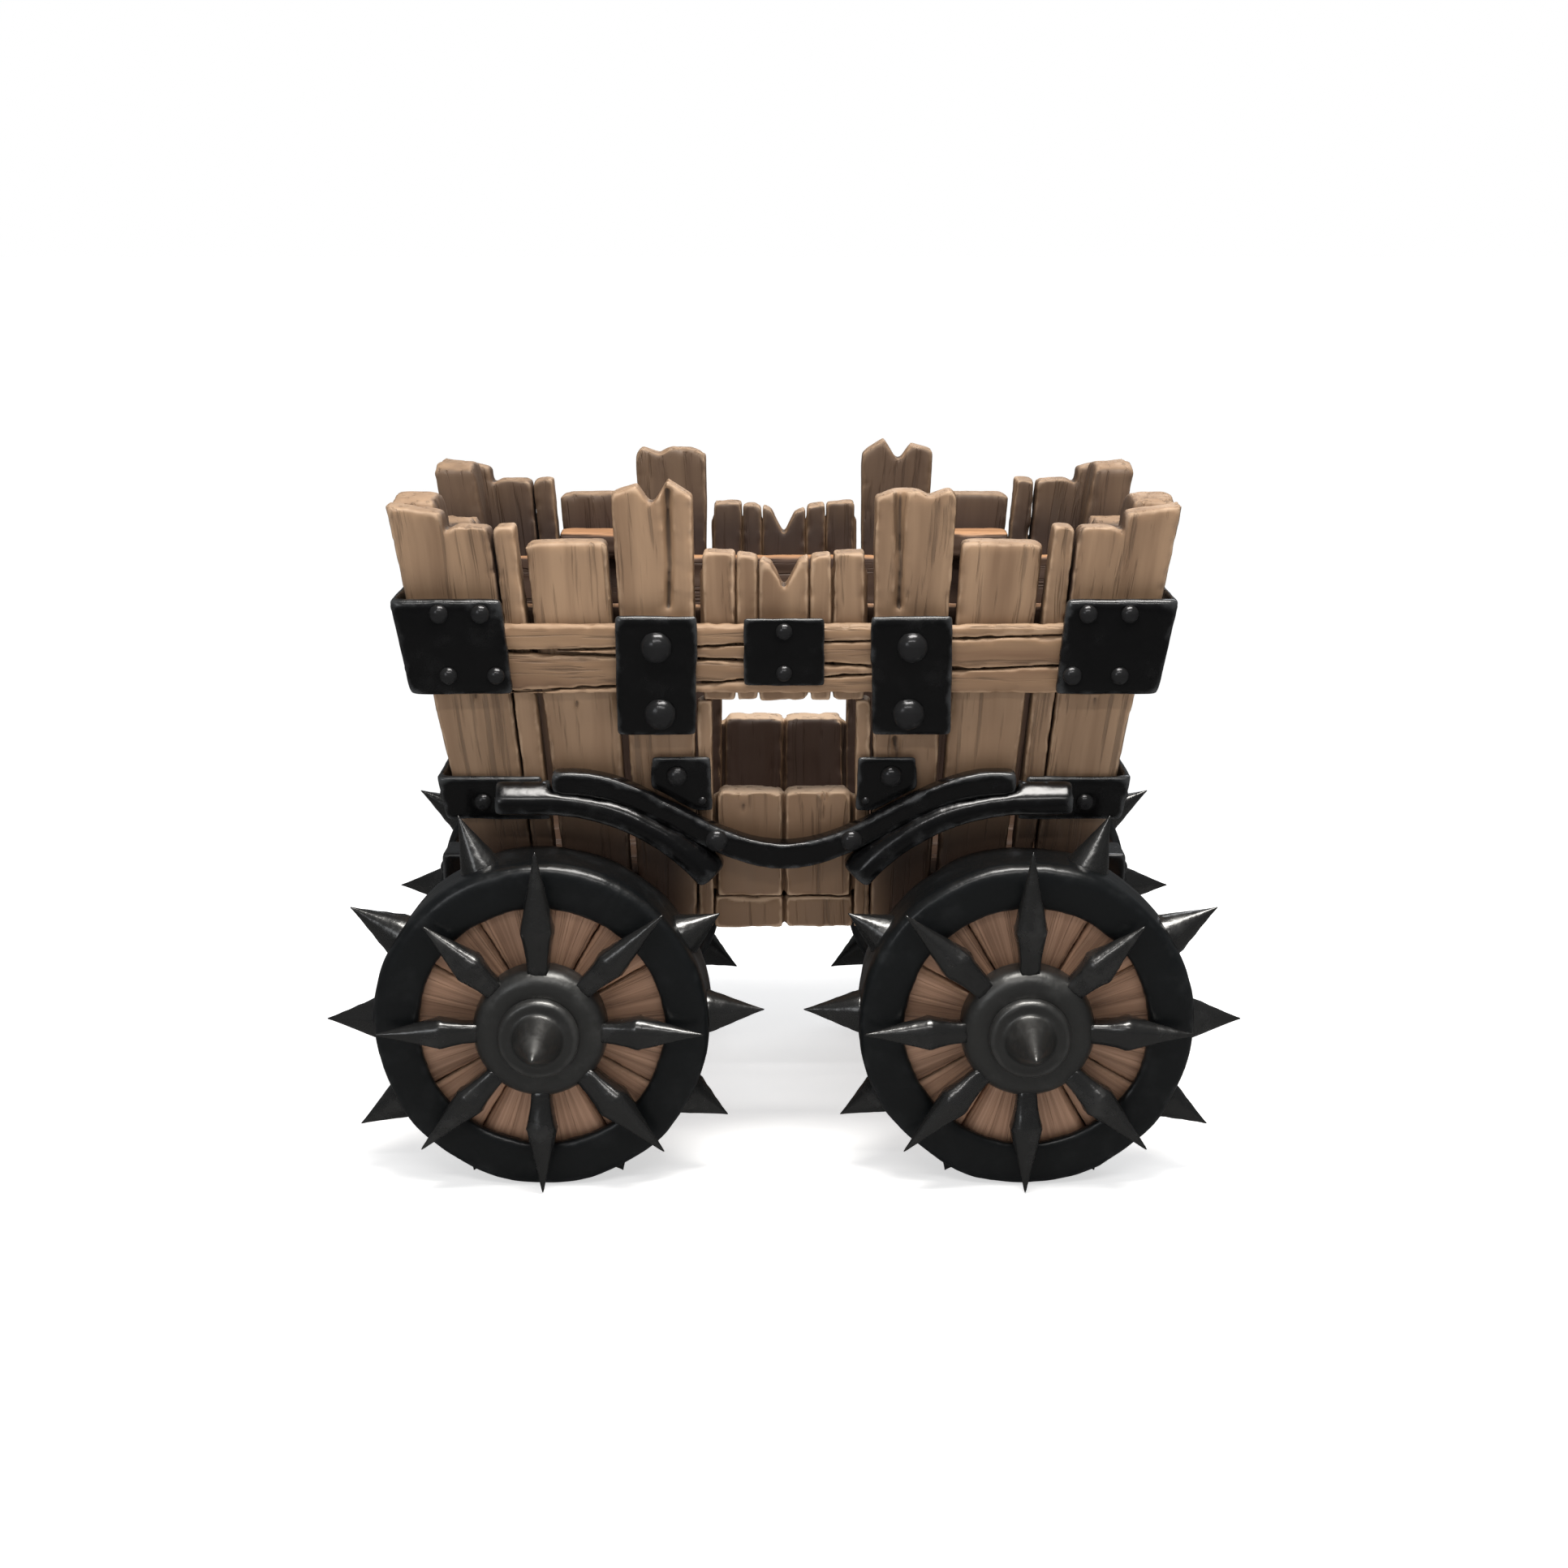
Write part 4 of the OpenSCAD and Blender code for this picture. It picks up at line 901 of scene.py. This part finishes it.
def build_copies():
    tree, given, result = new_tree(
        "copies_on_axis", "GeometryNodeTree",
        [("Geometry", "Geometry"), ("Template", "Object"), ("Girth Change", "Float"),
         ("Turn Change", "Float"), ("Seed", "Int"), ("Material", "Material")],
        [("Geometry", "Geometry")])
    values = given.outputs
    template = add(tree, "GeometryNodeObjectInfo", {"Object": values["Template"]})
    points = add(tree, "GeometryNodeMeshToPoints", {"Mesh": values["Geometry"]})
    turned = add(tree, "FunctionNodeAxesToRotation",
                 {"Primary Axis": stored(tree, "axis", "FLOAT_VECTOR"),
                  "Secondary Axis": stored(tree, "side", "FLOAT_VECTOR")},
                 primary_axis="Z", secondary_axis="Y")
    roll = times(tree, either_way(tree, values["Seed"]), values["Turn Change"])
    spin = add(tree, "ShaderNodeCombineXYZ", {"Z": roll})
    spun = add(tree, "FunctionNodeRotateRotation",
               {"Rotation": turned.outputs[0], "Rotate By": spin.outputs[0]},
               rotation_space="LOCAL")
    other_seed = maths(tree, "ADD", values["Seed"], SEED_STEP)
    change = maths(tree, "MULTIPLY_ADD", either_way(tree, other_seed), values["Girth Change"], 1.0)
    girth = times(tree, change, stored(tree, "size"))
    scale = add(tree, "ShaderNodeCombineXYZ", {"X": girth, "Y": girth, "Z": stored(tree, "reach")})
    copies = add(tree, "GeometryNodeInstanceOnPoints",
                 {"Points": points.outputs[0], "Instance": template.outputs["Geometry"],
                  "Rotation": spun.outputs[0], "Scale": scale.outputs[0]})
    real = add(tree, "GeometryNodeRealizeInstances", {"Geometry": copies.outputs[0]})
    painted = add(tree, "GeometryNodeSetMaterial",
                  {"Geometry": real.outputs[0], "Material": values["Material"]})
    return send(tree, result, {"Geometry": painted.outputs[0]})


COPIES = build_copies()


def copies(name, template, rows, material, girth_change, turn_change, seed):
    """Each row is (place, axis, side, reach, size)."""
    mesh = bpy.data.meshes.new(name + "_points")
    mesh.from_pydata([row[0] for row in rows], [], [])
    for label, column in (("axis", 1), ("side", 2)):
        held = mesh.attributes.new(label, "FLOAT_VECTOR", "POINT")
        held.data.foreach_set("vector", [v for row in rows for v in row[column]])
    for label, column in (("reach", 3), ("size", 4)):
        held = mesh.attributes.new(label, "FLOAT", "POINT")
        held.data.foreach_set("value", [row[column] for row in rows])
    piece = new_object(name + "_points", mesh)
    with_tree(piece, COPIES, {"Template": template, "Girth Change": girth_change,
                              "Turn Change": turn_change, "Seed": seed, "Material": material})
    made = plain_mesh(piece)
    for label in ("axis", "side", "reach", "size"):
        if label in made.attributes:
            made.attributes.remove(made.attributes[label])
    made.shade_smooth()
    return made


print("tree", COPIES.name, len(COPIES.nodes), "nodes")

# %% [markdown]
# ## Templates: a rivet head, a face spike and a rim spike
# Each template is a lathe shape made of rings, one unit long and in real girth where that
# helps. The face spike starts squarish where it leaves the hub, swells to a shoulder with
# facets, and then tapers. Small uneven steps in the rings give it a hand-forged look.

# %% Templates
def lathe(name, rings, sides, squareness, twist=0.0):
    """Each ring is (height, radius). Squareness 1 gives a square, 0 a circle."""
    made = bmesh.new()
    loops = []
    for i, (height, radius) in enumerate(rings):
        square = squareness(height) if callable(squareness) else squareness
        loop = []
        for k in range(sides):
            angle = 2 * math.pi * k / sides + twist
            c, s = math.cos(angle), math.sin(angle)
            flat = 1 / max(abs(math.cos(angle)), abs(math.sin(angle)))
            reach = radius * ((1 - square) + square * flat * 0.88)
            uneven = 1 + 0.025 * math.sin(3.1 * i + 2.3 * k)
            loop.append(made.verts.new((c * reach * uneven, s * reach * uneven, height)))
        loops.append(loop)
    for low, high in zip(loops, loops[1:]):
        for k in range(sides):
            n = (k + 1) % sides
            made.faces.new((low[k], low[n], high[n], high[k]))
    made.faces.new(loops[0][::-1])
    made.faces.new(loops[-1])
    return new_object(name, closed_mesh(made, name))


DOME = lathe("rivet_template",
             [(-0.12, 0.98), (0.04, 1.0), (0.22, 0.96), (0.44, 0.86), (0.66, 0.70), (0.84, 0.49),
              (0.95, 0.26), (1.0, 0.06)], 20, 0.0)
FACE_SPIKE = lathe("face_spike_template",
                   [(-0.12, 0.0175), (0.0, 0.0190), (0.10, 0.0205), (0.22, 0.0245),
                    (0.30, 0.0282), (0.335, 0.0288), (0.37, 0.0270), (0.46, 0.0232),
                    (0.58, 0.0180), (0.70, 0.0130), (0.82, 0.0080), (0.92, 0.0042),
                    (0.97, 0.0024), (1.0, 0.0008)], 16,
                   lambda h: max(0.0, 0.62 * (1 - max(h, 0.0) / 0.75)), math.pi / 4)
RIM_SPIKE = lathe("rim_spike_template",
                  [(-0.16, 1.10), (0.0, 1.0), (0.10, 0.91), (0.25, 0.76), (0.40, 0.605),
                   (0.55, 0.45), (0.70, 0.30), (0.82, 0.18), (0.91, 0.098), (0.97, 0.05),
                   (1.0, 0.02)], 20, 0.08)
print("templates", DOME.name, FACE_SPIKE.name, RIM_SPIKE.name)

# %% [markdown]
# ## Rivets
# A rivet holds each plate: a hot bar is pushed through and its end is hammered to a dome. The
# engineering model has a shank and a head for each. The head's place, direction and radius are
# measured from there, and one dome is set on each by the copies tree.

# %% Rivets
ANY_TURN = 3.1
HEAD_RISE = 1.08


def rivet_row(mesh):
    """Place, axis, side, reach and size of the dome for one rivet of the engineering model."""
    points = points_of(mesh)
    centre = points.mean(axis=0)
    spread = points - centre
    weights, axes = np.linalg.eigh(spread.T @ spread)
    gaps = [abs(weights[1] - weights[0]), abs(weights[2] - weights[1])]
    axis = axes[:, 2] if gaps[1] > gaps[0] else axes[:, 0]
    along = spread @ axis
    away = np.linalg.norm(spread - np.outer(along, axis), axis=1)
    ring = away > away.max() * 0.98
    top_gap = along.max() - along[ring].mean()
    low_gap = along[ring].mean() - along.min()
    if low_gap < top_gap:
        axis, along = -axis, -along
    seat = along[ring].mean()
    radius = away.max()
    place = centre + axis * seat
    side = np.cross(axis, (0.31, 0.2, 0.93))
    return (tuple(place), tuple(axis), tuple(side / np.linalg.norm(side)),
            float(along.max() - seat) * HEAD_RISE, float(radius))


for number, node in enumerate(("plate_rivets", "bracket_rivets")):
    rows = [rivet_row(mesh) for mesh in solids_of(node)]
    mesh = copies(node, DOME, rows, RIVET_IRON, 0.05, ANY_TURN, number)
    put_in_place(node, "_domes", mesh, "cart")

# %% [markdown]
# ## Spikes on the wheels
# Eight spikes lie over each wheel's face and more stand on its tread. The root and the tip of
# each are read from the engineering model, so the spikes keep its sizes. They ride on the
# wheel's body, so they turn with it.

# %% Spike rows
def spike_row(mesh, axle, start):
    points = points_of(mesh)
    out = points - np.array(axle)
    out[:, 1] = 0
    radii = np.linalg.norm(out, axis=1)
    tip = points[radii.argmax()]
    near = radii < radii.min() + 0.004
    root = (points[near].min(axis=0) + points[near].max(axis=0)) / 2
    axis = (tip - root) / np.linalg.norm(tip - root)
    radial = out[radii.argmax()] / radii.max()
    step = (start - (root - np.array(axle)) @ radial) / (axis @ radial)
    place = root + axis * step
    return place, axis, float(np.linalg.norm(tip - place))


HUB_EDGE = 0.112
TREAD = 0.279
RIM_ROOT = 0.036
STUB_ROOT = 0.022
STUB_REACH = 0.04
for wheel, (end, side) in WHEELS.items():
    axle = (end * WHEEL_X, 0.0, AXLE_Z)
    outward = (0.0, float(side), 0.0)
    body = wheel + "_wheel"
    rows = []
    for mesh in solids_of(wheel + "_face_spikes"):
        place, axis, reach = spike_row(mesh, axle, HUB_EDGE)
        rows.append((tuple(place), tuple(axis), outward, reach, 1.0))
    mesh = copies(body + "_face", FACE_SPIKE, rows, SPIKE_STEEL, 0.06, 0.12, 5 + end + 3 * side)
    put_in_place(wheel + "_face_spikes", "_forged", mesh, body)
    rows = []
    for mesh in solids_of(wheel + "_rim_spikes"):
        place, axis, reach = spike_row(mesh, axle, TREAD)
        thick = RIM_ROOT if reach > STUB_REACH else STUB_ROOT
        rows.append((tuple(place), tuple(axis), outward, reach, thick))
    mesh = copies(body + "_rim", RIM_SPIKE, rows, SPIKE_STEEL, 0.04, ANY_TURN, 9 + end + 3 * side)
    put_in_place(wheel + "_rim_spikes", "_forged", mesh, body)

for template in (DOME, FACE_SPIKE, RIM_SPIKE):
    bpy.data.objects.remove(template)

# %% [markdown]
# ## Wheels
# Each wheel is a ring of wedge boards inside a broad iron tyre, with a heavy rounded hub. The
# grain of the boards runs from the hub outwards, so their grain coordinates are turned
# round the axle. The engineering model's hub has sockets for the face spikes. Here its outline
# is turned without them, so that its rim stays round.

# %% Wheels
HUB_ROUND = 0.030
HUB_BORE = 0.0405
HUB_NAVE = 0.080
HUB_FLANGE = 0.059
HUB_CAVITY = 0.052
HUB_CAVITY_DEEP = 0.020
HUB_SIDES = 96
BOARD_GRAIN = 0.8


def radial_grain(end):
    def turn(points):
        x = points[:, 0] - end * WHEEL_X
        z = points[:, 2] - AXLE_Z
        radius = np.hypot(x, z)
        angle = np.arctan2(z, x)
        return np.stack((np.cos(angle) * BOARD_GRAIN,
                         np.sin(angle) * BOARD_GRAIN + points[:, 1],
                         radius * BOARD_GRAIN), axis=1)
    return turn


def round_hub(mesh):
    """The hub's outline turned round the axle, so its rim stays round over the sockets."""
    points = points_of(mesh)
    low, high = points.min(axis=0), points.max(axis=0)
    centre = (low + high) / 2
    side = 1.0 if centre[1] > 0 else -1.0
    back, front = sorted((abs(low[1]), abs(high[1])))
    rim = HUB_EDGE - HUB_ROUND
    bow = [math.radians(15 * k) for k in range(7)]
    outline = [(HUB_BORE, back), (HUB_NAVE, back), (HUB_NAVE, front - HUB_FLANGE),
               (HUB_EDGE, front - HUB_FLANGE)]
    outline += [(rim + HUB_ROUND * math.cos(a), front - HUB_ROUND * (1 - math.sin(a)))
                for a in bow]
    outline += [(HUB_CAVITY, front), (HUB_CAVITY, front - HUB_CAVITY_DEEP),
                (HUB_BORE, front - HUB_CAVITY_DEEP)]
    made = bmesh.new()
    rows = []
    for k in range(HUB_SIDES):
        angle = 2 * math.pi * k / HUB_SIDES
        rows.append([made.verts.new((centre[0] + r * math.cos(angle), side * y,
                                     centre[2] + r * math.sin(angle))) for r, y in outline])
    for k in range(HUB_SIDES):
        here, there = rows[k], rows[(k + 1) % HUB_SIDES]
        for i in range(len(outline)):
            n = (i + 1) % len(outline)
            made.faces.new((here[i], here[n], there[n], there[i]))
    return closed_mesh(made, "round hub")


FORGED = {"Squeeze": (6.0, 6.0, 6.0), "Grooves": 0.0020, "Dents": 0.0130, "Dent Scale": 8.0,
          "Chips": 0.0015}
SMOOTH = {"Squeeze": (6.0, 6.0, 6.0), "Grooves": 0.0, "Dents": 0.0016, "Dent Scale": 14.0,
          "Chips": 0.0}
WEDGE = {"Squeeze": (14.0, 3.0, 14.0), "Grooves": 0.0012, "Dents": 0.0030, "Dent Scale": 16.0,
         "Chips": 0.0020}
for wheel, (end, side) in WHEELS.items():
    body = wheel + "_wheel"
    iron_piece(wheel + "_tyre", 0.0064, 7, FORGED, TYRE_IRON, body)
    iron_piece(wheel + "_hub", 0.0044, 3, SMOOTH, HUB_IRON, body, round_hub)
    iron_piece(wheel + "_hub_cap", 0.0030, 5, SMOOTH, HUB_IRON, body)
    node = wheel + "_wheel_boards"
    boards = in_order(solids_of(node))
    meshes = [worn(board, 0.0066, 2, WEDGE, WHEEL_WOOD, 1.9 * i)
              for i, board in enumerate(boards)]
    numbers = [((i * 5) % 12) / 11 for i in range(len(boards))]
    mesh = joined(node + "_worn", meshes, numbers, radial_grain(end), WHEEL_WOOD)
    put_in_place(node, "_worn", mesh, body)

# %% [markdown]
# ## Running gear
# The axles, washers, nuts and bushes hide behind the wheels. Their exact shapes are right as
# they are, so they stay, and only get their materials.

# %% Running gear
KEPT = {"axles": AXLE_STEEL, "axle_washers": AXLE_STEEL, "axle_nuts": AXLE_STEEL}
KEPT.update({wheel + "_bush": BRONZE for wheel in WHEELS})
for node, material in KEPT.items():
    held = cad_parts[node].data
    held.materials.clear()
    held.materials.append(material)
print(len(KEPT), "nodes kept")

# %% [markdown]
# ## Floor, light and camera
# A pale floor fades to white a little way from the cart, so no horizon shows. One broad light
# above gives the pale tops, a long narrow one in front draws highlights on the iron, two weaker
# ones fill the front and the back, and the world gives the rest. Only the camera sees floor and
# world this white: reflections get a dark version of both, so the iron stays dark.

# %% Floor
FADE = (1.3, 2.6)
FLOOR_WHITE = (0.92, 0.92, 0.92, 1)
FLOOR_REFLECTED = (0.05, 0.05, 0.05, 1)
BLACK = (0, 0, 0, 1)
mesh = bpy.data.meshes.new("floor")
mesh.from_pydata([(-30, -12, 0), (30, -12, 0), (30, 60, 0), (-30, 60, 0)], [], [(0, 1, 2, 3)])
floor = new_object("floor", mesh)
pale = bpy.data.materials.new("pale_floor")
pale.use_nodes = True
chalk = pale.node_tree.nodes["Principled BSDF"]
chalk.inputs["Roughness"].default_value = 0.9
chalk.inputs["Emission Color"].default_value = (1, 1, 1, 1)
rays = add(pale.node_tree, "ShaderNodeLightPath").outputs
glossy = rays["Is Glossy Ray"]
spot = add(pale.node_tree, "ShaderNodeTexCoord").outputs["Object"]
away = add(pale.node_tree, "ShaderNodeVectorMath", {0: spot}, operation="LENGTH").outputs["Value"]
far = ramp(pale.node_tree, away, *FADE, curve="SMOOTHSTEP")
faded = times(pale.node_tree, far, rays["Is Camera Ray"])
tint = mix(pale.node_tree, glossy, FLOOR_WHITE, FLOOR_REFLECTED)
ground = mix(pale.node_tree, faded, tint, BLACK)
pale.node_tree.links.new(ground, chalk.inputs["Base Color"])
glow = ramp(pale.node_tree, glossy, start=0.58, end=0.02)
lit = maths(pale.node_tree, "MULTIPLY_ADD", faded, 0.42, glow)
pale.node_tree.links.new(lit, chalk.inputs["Emission Strength"])
mesh.materials.append(pale)

# %% World and lights
world = bpy.data.worlds.new("soft room")
bpy.context.scene.world = world
world.use_nodes = True
sky = world.node_tree
sky.nodes.clear()
paths = add(sky, "ShaderNodeLightPath").outputs
seen = paths["Is Camera Ray"]
level = ramp(sky, paths["Is Glossy Ray"], start=0.33, end=0.11)
room = add(sky, "ShaderNodeBackground", {"Color": (0.86, 0.88, 0.90, 1), "Strength": level})
paper = add(sky, "ShaderNodeBackground", {"Color": (1, 1, 1, 1), "Strength": 1.0})
both = add(sky, "ShaderNodeMixShader", {0: seen, 1: room.outputs[0], 2: paper.outputs[0]})
add(sky, "ShaderNodeOutputWorld", {"Surface": both.outputs[0]})


def area_light(name, place, target, size, power, colour):
    lamp = bpy.data.lights.new(name, "AREA")
    lamp.shape = "RECTANGLE"
    lamp.size, lamp.size_y = size
    lamp.energy = power
    lamp.color = colour
    held = bpy.data.objects.new(name, lamp)
    bpy.context.scene.collection.objects.link(held)
    held.location = place
    held.rotation_euler = (Vector(target) - Vector(place)).to_track_quat("-Z", "Y").to_euler()


area_light("key", (0.3, -1.15, 4.3), (0, 0, 0.7), (2.6, 1.2), 235, (1.0, 0.97, 0.93))
area_light("fill", (-2.6, -4.2, 2.2), (0, 0, 0.6), (1.2, 1.2), 15, (0.95, 0.97, 1.0))
area_light("strip", (0.0, -3.4, 3.3), (0, 0, 0.6), (3.0, 0.12), 36, (1.0, 0.98, 0.96))
area_light("back", (0.8, 3.4, 3.2), (0, 0, 0.8), (3.0, 1.2), 45, (0.95, 0.97, 1.0))
print("lights", len(bpy.data.lights))

# %% Camera
camera = bpy.data.cameras.new("camera")
camera.lens = 57.09
camera.sensor_width = 36.0
eye = bpy.data.objects.new("camera", camera)
bpy.context.scene.collection.objects.link(eye)
eye.location = (0.0, -4.403, 1.630)
eye.rotation_euler = (math.radians(76.6), 0.0, 0.0)
bpy.context.scene.camera = eye
bpy.context.scene.view_settings.view_transform = "Standard"
